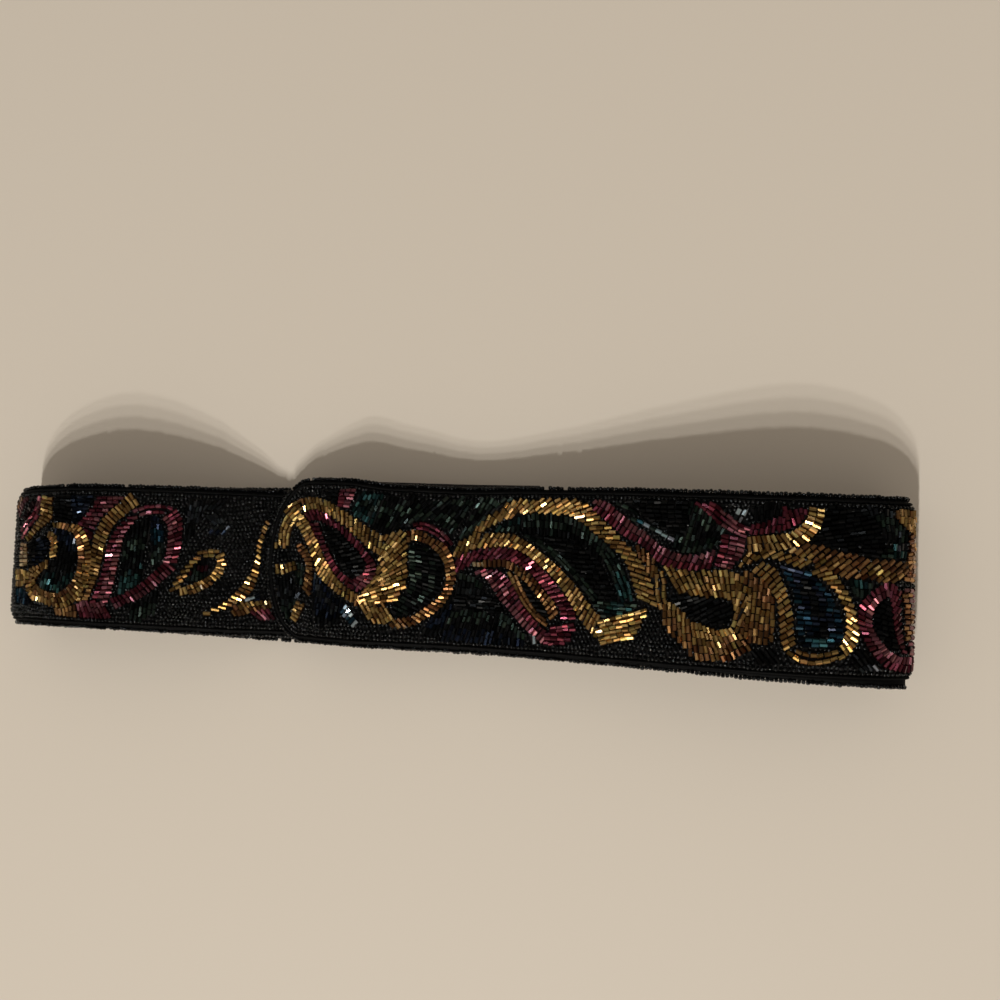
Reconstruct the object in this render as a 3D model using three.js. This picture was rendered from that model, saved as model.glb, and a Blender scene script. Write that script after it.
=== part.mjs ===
// A beaded waist belt, closed and lying on its side, as a soft flattened loop.
// Millimetres, +Z up. X runs along the belt, Y across its width. The origin is under the middle of the
// loop, on the surface that it lies on.

import * as THREE from 'three';

// Driving dimensions of the loop
const LOOP_LENGTH = 363.5; // from end fold to end fold, over the beads
const LOOP_HEIGHT = 28; // the highest crest of the upper run
const FACE_WIDTH = 58; // the beaded face between its two piped edges
const TONGUE_DEPTH = 13.5; // how deep the rounded end of the overlapping tongue is

// Plies of the band
const FACE_THICKNESS = 2.4; // backing cloth with its beads
const LINING_THICKNESS = 0.8;
const CLEARANCE = 0.3; // left between pieces that lie against each other
const EDGE_DROP = 0.9; // how far the beaded face falls away at its very edge
const EDGE_ROUND = 2; // how wide that rounding is
const FACE_FLAT = 5; // where the face is fully flat, in from its edge

// Trim along the edge, from the face outwards
const PIPING_WIDTH = 0.8;
const PIPING_HEIGHT = 1;
const LINING_MARGIN = 0.2; // satin that shows beside the piping everywhere
const FLANGE_WIDTH = 1.5; // further satin that shows where the edge has rolled open
const EDGE_BEAD = 1.7; // diameter of the seed bead row that finishes the edge

// Closure
const TAIL_THICKNESS = 1.6;
const TAIL_LENGTH = 96;
const TAIL_UPPER = 33.3; // its edges, across the belt
const TAIL_LOWER = -20.5;
const PATCH_THICKNESS = 1.6; // the closed hook-and-loop fastening
const PATCH_LENGTH = 42;
const PATCH_WIDTH = 34;
const PATCH_START = 34; // from where the tail starts

// How finely the band is faceted
const FINE_STEP = 0.5;
const LONGEST_STEP = 12;
const LARGEST_TURN = 14; // degrees
const TIP_RINGS = 7;
const TIP_BLUNT = 13; // degrees of the tip's ellipse that its blunt end takes
const EDGE_BEAD_SIDES = 6;

const BAND_THICKNESS = FACE_THICKNESS + CLEARANCE + LINING_THICKNESS;
const PLY_STEP = BAND_THICKNESS + CLEARANCE;
const REACH = (LOOP_LENGTH - BAND_THICKNESS) / 2; // the band's middle line, from the origin to an end fold
const RISE = LOOP_HEIGHT - BAND_THICKNESS;

// The side view of the loop, from the tongue's tip round to the end that is tucked under it.
// x is a share of REACH and lift of RISE; under counts the runs of belt that lie beneath.
// upper and lower are the edges of the beaded face as shares of half FACE_WIDTH, and flange is the share of
// FLANGE_WIDTH that shows below the lower edge.
const FOLDS = [
	{ place: 'tongue tip', x: -0.334, under: 2, lift: 0.075, upper: 1.055, lower: -0.975, flange: 0 },
	{ place: 'pinch, over', x: -0.295, under: 2, lift: 0.03, upper: 1.065, lower: -0.975, flange: 0 },
	{ place: 'step up', x: -0.25, under: 2, lift: 0.1, upper: 1.085, lower: -0.975, flange: 0 },
	{ place: 'tongue crest', x: -0.155, under: 0, lift: 0.62, upper: 1.08, lower: -0.975, flange: 0 },
	{ place: 'after the crest', x: -0.04, under: 0, lift: 0.57, upper: 1.015, lower: -0.975, flange: 0 },
	{ place: 'dip', x: 0.11, under: 0, lift: 0.44, upper: 1.0, lower: -0.975, flange: 0 },
	{ place: 'rise', x: 0.27, under: 0, lift: 0.53, upper: 1.02, lower: -0.975, flange: 0.1 },
	{ place: 'higher', x: 0.44, under: 0, lift: 0.71, upper: 1.025, lower: -0.985, flange: 0.1 },
	{ place: 'slope', x: 0.6, under: 0, lift: 0.885, upper: 1.01, lower: -0.995, flange: 0.2 },
	{ place: 'right crest', x: 0.76, under: 0, lift: 1.0, upper: 0.995, lower: -1.0, flange: 0.4 },
	{ place: 'right shoulder', x: 0.89, under: 0, lift: 0.89, upper: 0.99, lower: -1.0, flange: 0.6 },
	{ place: 'over the right fold', x: 0.967, under: 0, lift: 0.69, upper: 0.99, lower: -1.0, flange: 0.8 },
	{ place: 'right fold', x: 1.0, under: 0, lift: 0.42, upper: 0.99, lower: -1.0, flange: 1.0 },
	{ place: 'under the right fold', x: 0.982, under: 0, lift: 0.16, upper: 0.99, lower: -1.0, flange: 0.8 },
	{ place: 'right foot', x: 0.93, under: 0, lift: 0.02, upper: 0.99, lower: -1.01, flange: 0.5 },
	{ place: 'floor, right', x: 0.86, under: 0, lift: 0.0, upper: 0.985, lower: -1.01, flange: 0.3 },
	{ place: 'floor, middle', x: 0.0, under: 0, lift: 0.0, upper: 0.97, lower: -1.01, flange: 0.1 },
	{ place: 'floor, left', x: -0.86, under: 0, lift: 0.0, upper: 0.9, lower: -0.98, flange: 0 },
	{ place: 'left foot', x: -0.93, under: 0, lift: 0.02, upper: 0.85, lower: -0.97, flange: 0 },
	{ place: 'under the left fold', x: -0.982, under: 0, lift: 0.16, upper: 0.82, lower: -0.965, flange: 0 },
	{ place: 'left fold', x: -1.0, under: 0, lift: 0.41, upper: 0.81, lower: -0.96, flange: 0 },
	{ place: 'over the left fold', x: -0.97, under: 0, lift: 0.68, upper: 0.83, lower: -0.95, flange: 0 },
	{ place: 'left shoulder', x: -0.9, under: 0, lift: 0.89, upper: 0.865, lower: -0.935, flange: 0 },
	{ place: 'left crest', x: -0.79, under: 0, lift: 1.0, upper: 0.895, lower: -0.925, flange: 0 },
	{ place: 'left slope', x: -0.67, under: 0, lift: 0.93, upper: 0.905, lower: -0.925, flange: 0 },
	{ place: 'lower', x: -0.533, under: 0, lift: 0.7, upper: 0.91, lower: -0.935, flange: 0 },
	{ place: 'lower still', x: -0.42, under: 0, lift: 0.41, upper: 0.91, lower: -0.95, flange: 0 },
	{ place: 'under the tip', x: -0.352, under: 1, lift: 0.045, upper: 0.91, lower: -0.95, flange: 0 },
	{ place: 'pinch, under', x: -0.302, under: 1, lift: 0.01, upper: 0.91, lower: -0.95, flange: 0 },
	{ place: 'tucked end', x: -0.262, under: 1, lift: 0.02, upper: 0.91, lower: -0.95, flange: 0 },
];

// Colours, as seen on the real belt
const LOOKS = {
	beaded_band: { color: 0x17171a, roughness: 0.35, metalness: 0.1 },
	lining: { color: 0x0c0c0e, roughness: 0.55, metalness: 0 },
	edge_piping: { color: 0x1c1c1f, roughness: 0.5, metalness: 0 },
	edge_bead_row: { color: 0x060607, roughness: 0.15, metalness: 0 },
	closure_tail: { color: 0x0d0c0e, roughness: 0.7, metalness: 0 },
	closure_patch: { color: 0x101012, roughness: 0.95, metalness: 0 },
};

// The side view as closely spaced points of the band's middle line, each with its distance s from the
// tongue's tip, its direction, its outward normal and the edges of the face there.
function followFolds() {

	const line = new THREE.CatmullRomCurve3( FOLDS.map( ( { x, under, lift } ) =>
		new THREE.Vector3( x * REACH, 0, BAND_THICKNESS / 2 + under * PLY_STEP + lift * RISE ) ), false, 'centripetal' );
	const last = FOLDS.length - 1;
	const steps = Math.round( line.getLength() / FINE_STEP );
	const path = [];
	for ( let i = 0; i <= steps; i ++ ) {

		const t = i / steps;
		const at = line.getPoint( t );
		at.z = Math.max( at.z, BAND_THICKNESS / 2 ); // the surface stops it
		const before = path[ i - 1 ];
		path.push( { s: before ? before.s + before.at.distanceTo( at ) : 0, at, ...edgesAt( t * last ) } );

	}

	path.forEach( ( p, i ) => {

		const from = path[ Math.max( i - 1, 0 ) ].at;
		const to = path[ Math.min( i + 1, steps ) ].at;
		p.along = to.clone().sub( from ).normalize();
		p.out = new THREE.Vector3( - p.along.z, 0, p.along.x );

	} );
	return path;

}

// The face's edges between two rows of FOLDS, where place counts rows.
function edgesAt( place ) {

	const row = Math.min( Math.floor( place ), FOLDS.length - 2 );
	const [ a, b ] = [ FOLDS[ row ], FOLDS[ row + 1 ] ];
	const k = THREE.MathUtils.smoothstep( place - row, 0, 1 );
	const between = ( name ) => THREE.MathUtils.lerp( a[ name ], b[ name ], k );
	return {
		upper: between( 'upper' ) * FACE_WIDTH / 2,
		lower: between( 'lower' ) * FACE_WIDTH / 2,
		flange: between( 'flange' ) * FLANGE_WIDTH,
	};

}

const PATH = followFolds();
const END = PATH[ PATH.length - 1 ].s;

// The station at distance s, which may lie a little before the tip, where the line runs straight on.
function stationAt( s ) {

	if ( s <= 0 ) return { ...PATH[ 0 ], s, at: PATH[ 0 ].at.clone().addScaledVector( PATH[ 0 ].along, s ) };
	let high = PATH.findIndex( ( p ) => p.s >= s );
	if ( high < 0 ) high = PATH.length - 1;
	const [ a, b ] = [ PATH[ high - 1 ], PATH[ high ] ];
	const k = ( s - a.s ) / ( b.s - a.s );
	const mix = ( name ) => a[ name ].clone().lerp( b[ name ], k );
	const between = ( name ) => THREE.MathUtils.lerp( a[ name ], b[ name ], k );
	return {
		s, at: mix( 'at' ), along: mix( 'along' ).normalize(), out: mix( 'out' ).normalize(),
		upper: between( 'upper' ), lower: between( 'lower' ), flange: between( 'flange' ),
	};

}

// Distance from the tip to the first point of the tongue's run that lies at x or beyond it.
function tongueAt( x ) {

	return PATH.find( ( p ) => p.at.x >= x ).s;

}

// The edges of a ply that reaches beyond the face, by spare on both sides and the flange below. Within
// TONGUE_DEPTH of the tip they follow half an ellipse.
function plyEdges( station, spare, flangeShare ) {

	const beyond = Math.max( TONGUE_DEPTH - station.s, 0 ) / ( TONGUE_DEPTH + spare );
	const k = Math.sqrt( Math.max( 1 - beyond * beyond, 0 ) );
	const middle = ( station.upper + station.lower ) / 2;
	const half = ( station.upper - station.lower ) / 2 + spare;
	return {
		upper: middle + half * k,
		lower: middle - half * k - station.flange * flangeShare * k,
	};

}

// Distances for the sections of a ply that reaches spare beyond the face: rings round the tip, then steps
// that are short where the band turns.
function sectionPlaces( spare ) {

	const places = [];
	const blunt = THREE.MathUtils.degToRad( TIP_BLUNT );
	for ( let i = 0; i <= TIP_RINGS; i ++ ) {

		const angle = THREE.MathUtils.lerp( blunt, Math.PI / 2, i / TIP_RINGS );
		places.push( TONGUE_DEPTH - ( TONGUE_DEPTH + spare ) * Math.cos( angle ) );

	}

	let due = 0;
	for ( let i = 1; i < PATH.length; i ++ ) {

		if ( PATH[ i ].s <= TONGUE_DEPTH ) continue;
		const turn = THREE.MathUtils.radToDeg( PATH[ i ].along.angleTo( PATH[ i - 1 ].along ) );
		due += ( PATH[ i ].s - PATH[ i - 1 ].s ) / LONGEST_STEP + turn / LARGEST_TURN;
		if ( due >= 1 && END - PATH[ i ].s > 1 ) {

			places.push( PATH[ i ].s );
			due = 0;

		}

	}

	places.push( END );
	return places;

}

// A point at y across the belt and level out from the band's middle line.
function pointOf( station, y, level ) {

	const point = station.at.clone().addScaledVector( station.out, level );
	point.y += y;
	return point;

}

// A closed solid through rings of points, each ring going the same way round, with flat ends.
function loftSolid( rings ) {

	const count = rings[ 0 ].length;
	const position = rings.flat().flatMap( ( p ) => [ p.x, p.y, p.z ] );
	const index = [];
	for ( let ring = 0; ring < rings.length - 1; ring ++ ) {

		for ( let i = 0; i < count; i ++ ) {

			const a = ring * count + i;
			const b = ring * count + ( i + 1 ) % count;
			index.push( a, b, a + count, b, b + count, a + count );

		}

	}

	const lastRing = ( rings.length - 1 ) * count;
	for ( let i = 1; i < count - 1; i ++ ) {

		index.push( 0, i + 1, i );
		index.push( lastRing, lastRing + i, lastRing + i + 1 );

	}

	const geometry = new THREE.BufferGeometry();
	geometry.setAttribute( 'position', new THREE.Float32BufferAttribute( position, 3 ) );
	geometry.setIndex( index );
	geometry.computeVertexNormals();
	return geometry;

}

// The outer ply: its beaded side is flat across the belt and falls away at both edges.
function makeBeadedBand() {

	const top = BAND_THICKNESS / 2;
	return loftSolid( sectionPlaces( 0 ).map( ( s ) => {

		const station = stationAt( s );
		const { upper, lower } = plyEdges( station, 0, 0 );
		const narrow = Math.min( 1, ( upper - lower ) / ( 4 * FACE_FLAT ) );
		const round = EDGE_ROUND * narrow;
		const flat = FACE_FLAT * narrow;
		return [
			[ lower, top - FACE_THICKNESS ],
			[ upper, top - FACE_THICKNESS ],
			[ upper, top - EDGE_DROP ],
			[ upper - round, top - EDGE_DROP / 4 ],
			[ upper - flat, top ],
			[ lower + flat, top ],
			[ lower + round, top - EDGE_DROP / 4 ],
			[ lower, top - EDGE_DROP ],
		].map( ( [ y, level ] ) => pointOf( station, y, level ) );

	} ) );

}

// How far the lining reaches beyond the face, where it carries the piping.
const LINING_REACH = CLEARANCE + PIPING_WIDTH + LINING_MARGIN;

// The inner ply of satin, with its margin beyond the face.
function makeLining() {

	const inside = - BAND_THICKNESS / 2;
	return loftSolid( sectionPlaces( LINING_REACH ).map( ( s ) => {

		const station = stationAt( s );
		const { upper, lower } = plyEdges( station, LINING_REACH, 1 );
		return [
			[ lower, inside ],
			[ upper, inside ],
			[ upper, inside + LINING_THICKNESS ],
			[ lower, inside + LINING_THICKNESS ],
		].map( ( [ y, level ] ) => pointOf( station, y, level ) );

	} ) );

}

// The line round the band at spare beyond the face: back along the lower edge, round the tongue's tip
// and along the upper edge.
function rimPlaces( spare, flangeShare ) {

	const places = sectionPlaces( spare );
	const edge = ( s, side ) => {

		const station = stationAt( s );
		return { station, y: plyEdges( station, spare, flangeShare )[ side ] };

	};

	return [
		...places.toReversed().map( ( s ) => edge( s, 'lower' ) ),
		...places.map( ( s ) => edge( s, 'upper' ) ),
	];

}

// A trim that runs round the rim. section holds [ across, level ] pairs, where across points away from
// the band's middle.
function makeRimTrim( spare, flangeShare, section ) {

	const rim = rimPlaces( spare, flangeShare );
	const line = rim.map( ( { station, y } ) => pointOf( station, y, 0 ) );
	return loftSolid( rim.map( ( { station }, i ) => {

		const from = line[ Math.max( i - 1, 0 ) ];
		const to = line[ Math.min( i + 1, line.length - 1 ) ];
		const ahead = to.clone().sub( from ).normalize();
		const across = station.out.clone().cross( ahead ).normalize();
		return section.map( ( [ away, level ] ) =>
			line[ i ].clone().addScaledVector( across, away ).addScaledVector( station.out, level ) );

	} ) );

}

function makePiping() {

	const foot = - BAND_THICKNESS / 2 + LINING_THICKNESS + CLEARANCE;
	const half = PIPING_WIDTH / 2;
	const section = [
		[ - half, foot ], [ half, foot ],
		[ half, foot + PIPING_HEIGHT * 0.6 ], [ 0, foot + PIPING_HEIGHT ], [ - half, foot + PIPING_HEIGHT * 0.6 ],
	];
	return makeRimTrim( CLEARANCE + half, 0, section );

}

function makeEdgeBeadRow() {

	const radius = EDGE_BEAD / 2;
	const level = ( LINING_THICKNESS - BAND_THICKNESS ) / 2;
	const section = [];
	for ( let i = 0; i < EDGE_BEAD_SIDES; i ++ ) {

		const angle = ( i / EDGE_BEAD_SIDES ) * 2 * Math.PI;
		section.push( [ radius * Math.cos( angle ), level + radius * Math.sin( angle ) ] );

	}

	return makeRimTrim( LINING_REACH + CLEARANCE + radius, 1, section );

}

// A flat strip below the tongue's run: thickness thick, its middle at level from the band's middle line.
function underTongue( from, to, level, thickness, lower, upper ) {

	const pieces = Math.ceil( ( to - from ) / LONGEST_STEP );
	const rings = [];
	for ( let i = 0; i <= pieces; i ++ ) {

		const station = stationAt( THREE.MathUtils.lerp( from, to, i / pieces ) );
		rings.push( flatSection( station, level, thickness, lower, upper ) );

	}

	return rings;

}

function flatSection( station, level, thickness, lower, upper ) {

	return [
		[ lower, level - thickness / 2 ], [ upper, level - thickness / 2 ],
		[ upper, level + thickness / 2 ], [ lower, level + thickness / 2 ],
	].map( ( [ y, out ] ) => pointOf( station, y, out ) );

}

const PATCH_LEVEL = - BAND_THICKNESS / 2 - CLEARANCE - PATCH_THICKNESS / 2;
const TAIL_LEVEL = PATCH_LEVEL - PATCH_THICKNESS / 2 - CLEARANCE - TAIL_THICKNESS / 2;

// The plain tail: it starts against the tucked end and then lies under the tongue's run.
function makeTail() {

	const end = stationAt( END );
	const root = { ...end, at: end.at.clone().addScaledVector( end.along, CLEARANCE ) };
	const from = tongueAt( root.at.x );
	const settle = LONGEST_STEP; // it takes this far to come up to its level
	return loftSolid( [
		flatSection( root, 0, TAIL_THICKNESS, TAIL_LOWER, end.upper ),
		...underTongue( from + settle, from + TAIL_LENGTH, TAIL_LEVEL, TAIL_THICKNESS, TAIL_LOWER, TAIL_UPPER ),
	] );

}

function makePatch() {

	const from = tongueAt( stationAt( END ).at.x ) + PATCH_START;
	const middle = ( TAIL_LOWER + TAIL_UPPER ) / 2;
	return loftSolid( underTongue( from, from + PATCH_LENGTH, PATCH_LEVEL, PATCH_THICKNESS,
		middle - PATCH_WIDTH / 2, middle + PATCH_WIDTH / 2 ) );

}

function addPiece( group, name, geometry ) {

	const { color, roughness, metalness } = LOOKS[ name ];
	const material = new THREE.MeshStandardMaterial( { color, roughness, metalness } );
	const mesh = new THREE.Mesh( geometry, material );
	mesh.name = name;
	group.add( mesh );

}

const belt = new THREE.Group();
addPiece( belt, 'beaded_band', makeBeadedBand() );
addPiece( belt, 'lining', makeLining() );
addPiece( belt, 'edge_piping', makePiping() );
addPiece( belt, 'edge_bead_row', makeEdgeBeadRow() );
addPiece( belt, 'closure_tail', makeTail() );
addPiece( belt, 'closure_patch', makePatch() );

// The loop lies askew across its width, so it is moved until the origin is under its middle.
belt.position.y = - new THREE.Box3().setFromObject( belt ).getCenter( new THREE.Vector3() ).y;

export default belt;
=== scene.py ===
# A beaded waist belt that lies on its side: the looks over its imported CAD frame.
# Metres, +Z up. The belt's own sizes and the bead chart are in millimetres: s along the band from the
# tongue's tip, y across it, with the face's middle at 0.

import bpy
import numpy as np
from mathutils import Euler, Matrix, Vector


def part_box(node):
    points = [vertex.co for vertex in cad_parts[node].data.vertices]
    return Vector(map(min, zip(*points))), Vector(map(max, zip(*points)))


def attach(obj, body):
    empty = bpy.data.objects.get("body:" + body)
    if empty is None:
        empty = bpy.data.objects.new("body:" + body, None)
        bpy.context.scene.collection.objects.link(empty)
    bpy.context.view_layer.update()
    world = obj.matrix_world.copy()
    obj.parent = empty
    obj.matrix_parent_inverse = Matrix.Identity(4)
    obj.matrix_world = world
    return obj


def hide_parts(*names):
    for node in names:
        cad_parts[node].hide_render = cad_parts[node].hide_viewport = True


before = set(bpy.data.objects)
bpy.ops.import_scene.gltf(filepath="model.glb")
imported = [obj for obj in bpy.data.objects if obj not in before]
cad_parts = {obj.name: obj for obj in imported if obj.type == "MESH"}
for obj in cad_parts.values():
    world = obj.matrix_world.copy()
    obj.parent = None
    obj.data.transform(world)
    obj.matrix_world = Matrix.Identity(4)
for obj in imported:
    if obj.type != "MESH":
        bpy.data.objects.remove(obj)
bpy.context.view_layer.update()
rng = np.random.default_rng(7)
MM = 0.001

# Driving dimensions, as in the part's source, in millimetres
LOOP_LENGTH = 363.5
LOOP_HEIGHT = 28.0
FACE_WIDTH = 58.0
TONGUE_DEPTH = 13.5
FACE_THICKNESS = 2.4
LINING_THICKNESS = 0.8
CLEARANCE = 0.3
EDGE_DROP = 0.9
FACE_FLAT = 5.0
PIPING_WIDTH = 0.8
LINING_MARGIN = 0.2
FLANGE_WIDTH = 1.5
EDGE_BEAD = 1.7
TAIL_THICKNESS = 1.6
TAIL_LENGTH = 96.0
TAIL_UPPER = 33.3
TAIL_LOWER = -20.5
PATCH_THICKNESS = 1.6

BAND_THICKNESS = FACE_THICKNESS + CLEARANCE + LINING_THICKNESS
PLY_STEP = BAND_THICKNESS + CLEARANCE
REACH = (LOOP_LENGTH - BAND_THICKNESS) / 2
RISE = LOOP_HEIGHT - BAND_THICKNESS
LINING_REACH = CLEARANCE + PIPING_WIDTH + LINING_MARGIN

# Sizes that only the looks have: the piping's cord, the part of the lining under the edge beads, the tail's
# way down from the tucked end, and then the spacing of points along the cloth, the rim, a rail of the
# chart (with the curve's points for each of its own) and the piping
PIPING_RADIUS = 0.5
LINING_EDGE = 0.7
TAIL_SETTLE = 12.0
LOFT_STEP = 2.0
RIM_STEP = 0.5
RAIL_STEP = 0.05
RAIL_POINTS = 24
PIPING_STEP = 1.2

# Beads. BEAD_SINK is how far the backing's top lies beneath the top of a bugle, in its diameters.
BUGLE_LENGTH = 2.4
BUGLE_DIAMETER = 1.62
BUGLE_GAP = 0.25
BUGLE_STEP = BUGLE_LENGTH + 0.1
LONGEST_BUGLE = BUGLE_LENGTH * 1.25
SHORTEST_BUGLE = 1.0
ROW_PITCH = 1.88
SEED_DIAMETER = 1.5
SEED_LENGTH = 1.2
SEED_STEP = SEED_LENGTH + 0.3
SEED_PITCH = 1.65
EDGE_PITCH = 1.5
EDGE_HALF_LENGTH = EDGE_BEAD * 0.4
BEAD_SINK = 0.75

# How far inside the face's edge the beads of the chart and the two rows of seeds along it are
EDGE_MARGIN = 0.8
OUTER_ROW = 0.75
INNER_ROW = 2.3

# A bead's footprint, as shares of its length (to each side) and diameter, and the most of it that may
# already be taken
FOOTPRINT_REACH = 0.46
FOOTPRINT_WIDTH = 0.95
BUGLE_OVERLAP = 0.3
SEED_OVERLAP = 0.25
FILL_OVERLAP = 0.34

# How uneven the handwork is: spreads in millimetres, turns and tilts in radians, sizes as shares
STRING_SHIFT = 0.3
BUGLE_SPREAD = 0.09
BUGLE_TILT = 0.06
BUGLE_LENGTHS = (0.96, 1.02)
BUGLE_DIAMETERS = (0.92, 1.06)
SEED_SPREAD = 0.13
SEED_TILT = 0.25
SEED_SIZES = (0.88, 1.1)
COLOUR_SPREAD = 0.3
EDGE_SPREAD = 0.1
EDGE_TURN = 0.2
EDGE_TILT = 0.15
EDGE_SIZES = (0.92, 1.1)
EDGE_LEFT_OUT = 0.02

# The rows of seeds that fill the ground: where they begin and how far they reach, as shares of the face's
# width, and how closely they nest
FILL_START = 0.6
FILL_REACH = 1.25
FILL_NESTING = 0.95

# The waves in these rows: height, length over 2 pi, and turn from row to row
SEED_WAVES = ((1.1, 11, 0.25), (0.5, 4.3, 0))

# The side view of the loop, as in the part's source: x as a share of REACH, runs of belt beneath, lift as
# a share of RISE, the face's upper and lower edges as shares of half FACE_WIDTH, and the flange's share.
FOLDS = [
    (-0.334, 2, 0.075, 1.055, -0.975, 0),
    (-0.295, 2, 0.03, 1.065, -0.975, 0),
    (-0.25, 2, 0.1, 1.085, -0.975, 0),
    (-0.155, 0, 0.62, 1.08, -0.975, 0),
    (-0.04, 0, 0.57, 1.015, -0.975, 0),
    (0.11, 0, 0.44, 1.0, -0.975, 0),
    (0.27, 0, 0.53, 1.02, -0.975, 0.1),
    (0.44, 0, 0.71, 1.025, -0.985, 0.1),
    (0.6, 0, 0.885, 1.01, -0.995, 0.2),
    (0.76, 0, 1.0, 0.995, -1.0, 0.4),
    (0.89, 0, 0.89, 0.99, -1.0, 0.6),
    (0.967, 0, 0.69, 0.99, -1.0, 0.8),
    (1.0, 0, 0.42, 0.99, -1.0, 1.0),
    (0.982, 0, 0.16, 0.99, -1.0, 0.8),
    (0.93, 0, 0.02, 0.99, -1.01, 0.5),
    (0.86, 0, 0.0, 0.985, -1.01, 0.3),
    (0.0, 0, 0.0, 0.97, -1.01, 0.1),
    (-0.86, 0, 0.0, 0.9, -0.98, 0),
    (-0.93, 0, 0.02, 0.85, -0.97, 0),
    (-0.982, 0, 0.16, 0.82, -0.965, 0),
    (-1.0, 0, 0.41, 0.81, -0.96, 0),
    (-0.97, 0, 0.68, 0.83, -0.95, 0),
    (-0.9, 0, 0.89, 0.865, -0.935, 0),
    (-0.79, 0, 1.0, 0.895, -0.925, 0),
    (-0.67, 0, 0.93, 0.905, -0.925, 0),
    (-0.533, 0, 0.7, 0.91, -0.935, 0),
    (-0.42, 0, 0.41, 0.91, -0.95, 0),
    (-0.352, 1, 0.045, 0.91, -0.95, 0),
    (-0.302, 1, 0.01, 0.91, -0.95, 0),
    (-0.262, 1, 0.02, 0.91, -0.95, 0),
]


def unit(vectors):
    return vectors / np.linalg.norm(vectors, axis=-1, keepdims=True)


def run_along(path):
    """How far along a path each of its points is."""
    return np.concatenate([[0], np.cumsum(np.linalg.norm(np.diff(path, axis=0), axis=1))])


def tube_faces(rows, columns):
    """The four-sided faces between rows of points that each go round once."""
    faces = []
    for i in range(rows - 1):
        for k in range(columns):
            a, b = i * columns + k, i * columns + (k + 1) % columns
            faces.append((a, b, b + columns, a + columns))
    return faces


def catmull(points, steps):
    """A centripetal Catmull-Rom curve through points, at steps + 1 equal shares of the spans."""
    points = np.asarray(points, float)
    padded = np.vstack([2 * points[0] - points[1], points, 2 * points[-1] - points[-2]])
    spans = len(points) - 1
    place = np.linspace(0, spans, steps + 1)
    row = np.minimum(place.astype(int), spans - 1)
    w = (place - row)[:, None]
    p0, p1, p2, p3 = (padded[row + k] for k in range(4))

    def knot(a, b):
        return np.maximum(np.linalg.norm(b - a, axis=1, keepdims=True), 1e-6) ** 0.5

    d0, d1, d2 = knot(p0, p1), knot(p1, p2), knot(p2, p3)
    t1 = ((p1 - p0) / d0 - (p2 - p0) / (d0 + d1) + (p2 - p1) / d1) * d1
    t2 = ((p2 - p1) / d1 - (p3 - p1) / (d1 + d2) + (p3 - p2) / d2) * d1
    return p1 + t1 * w + (-3 * p1 + 3 * p2 - 2 * t1 - t2) * w ** 2 + (2 * p1 - 2 * p2 + t1 + t2) * w ** 3


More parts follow.
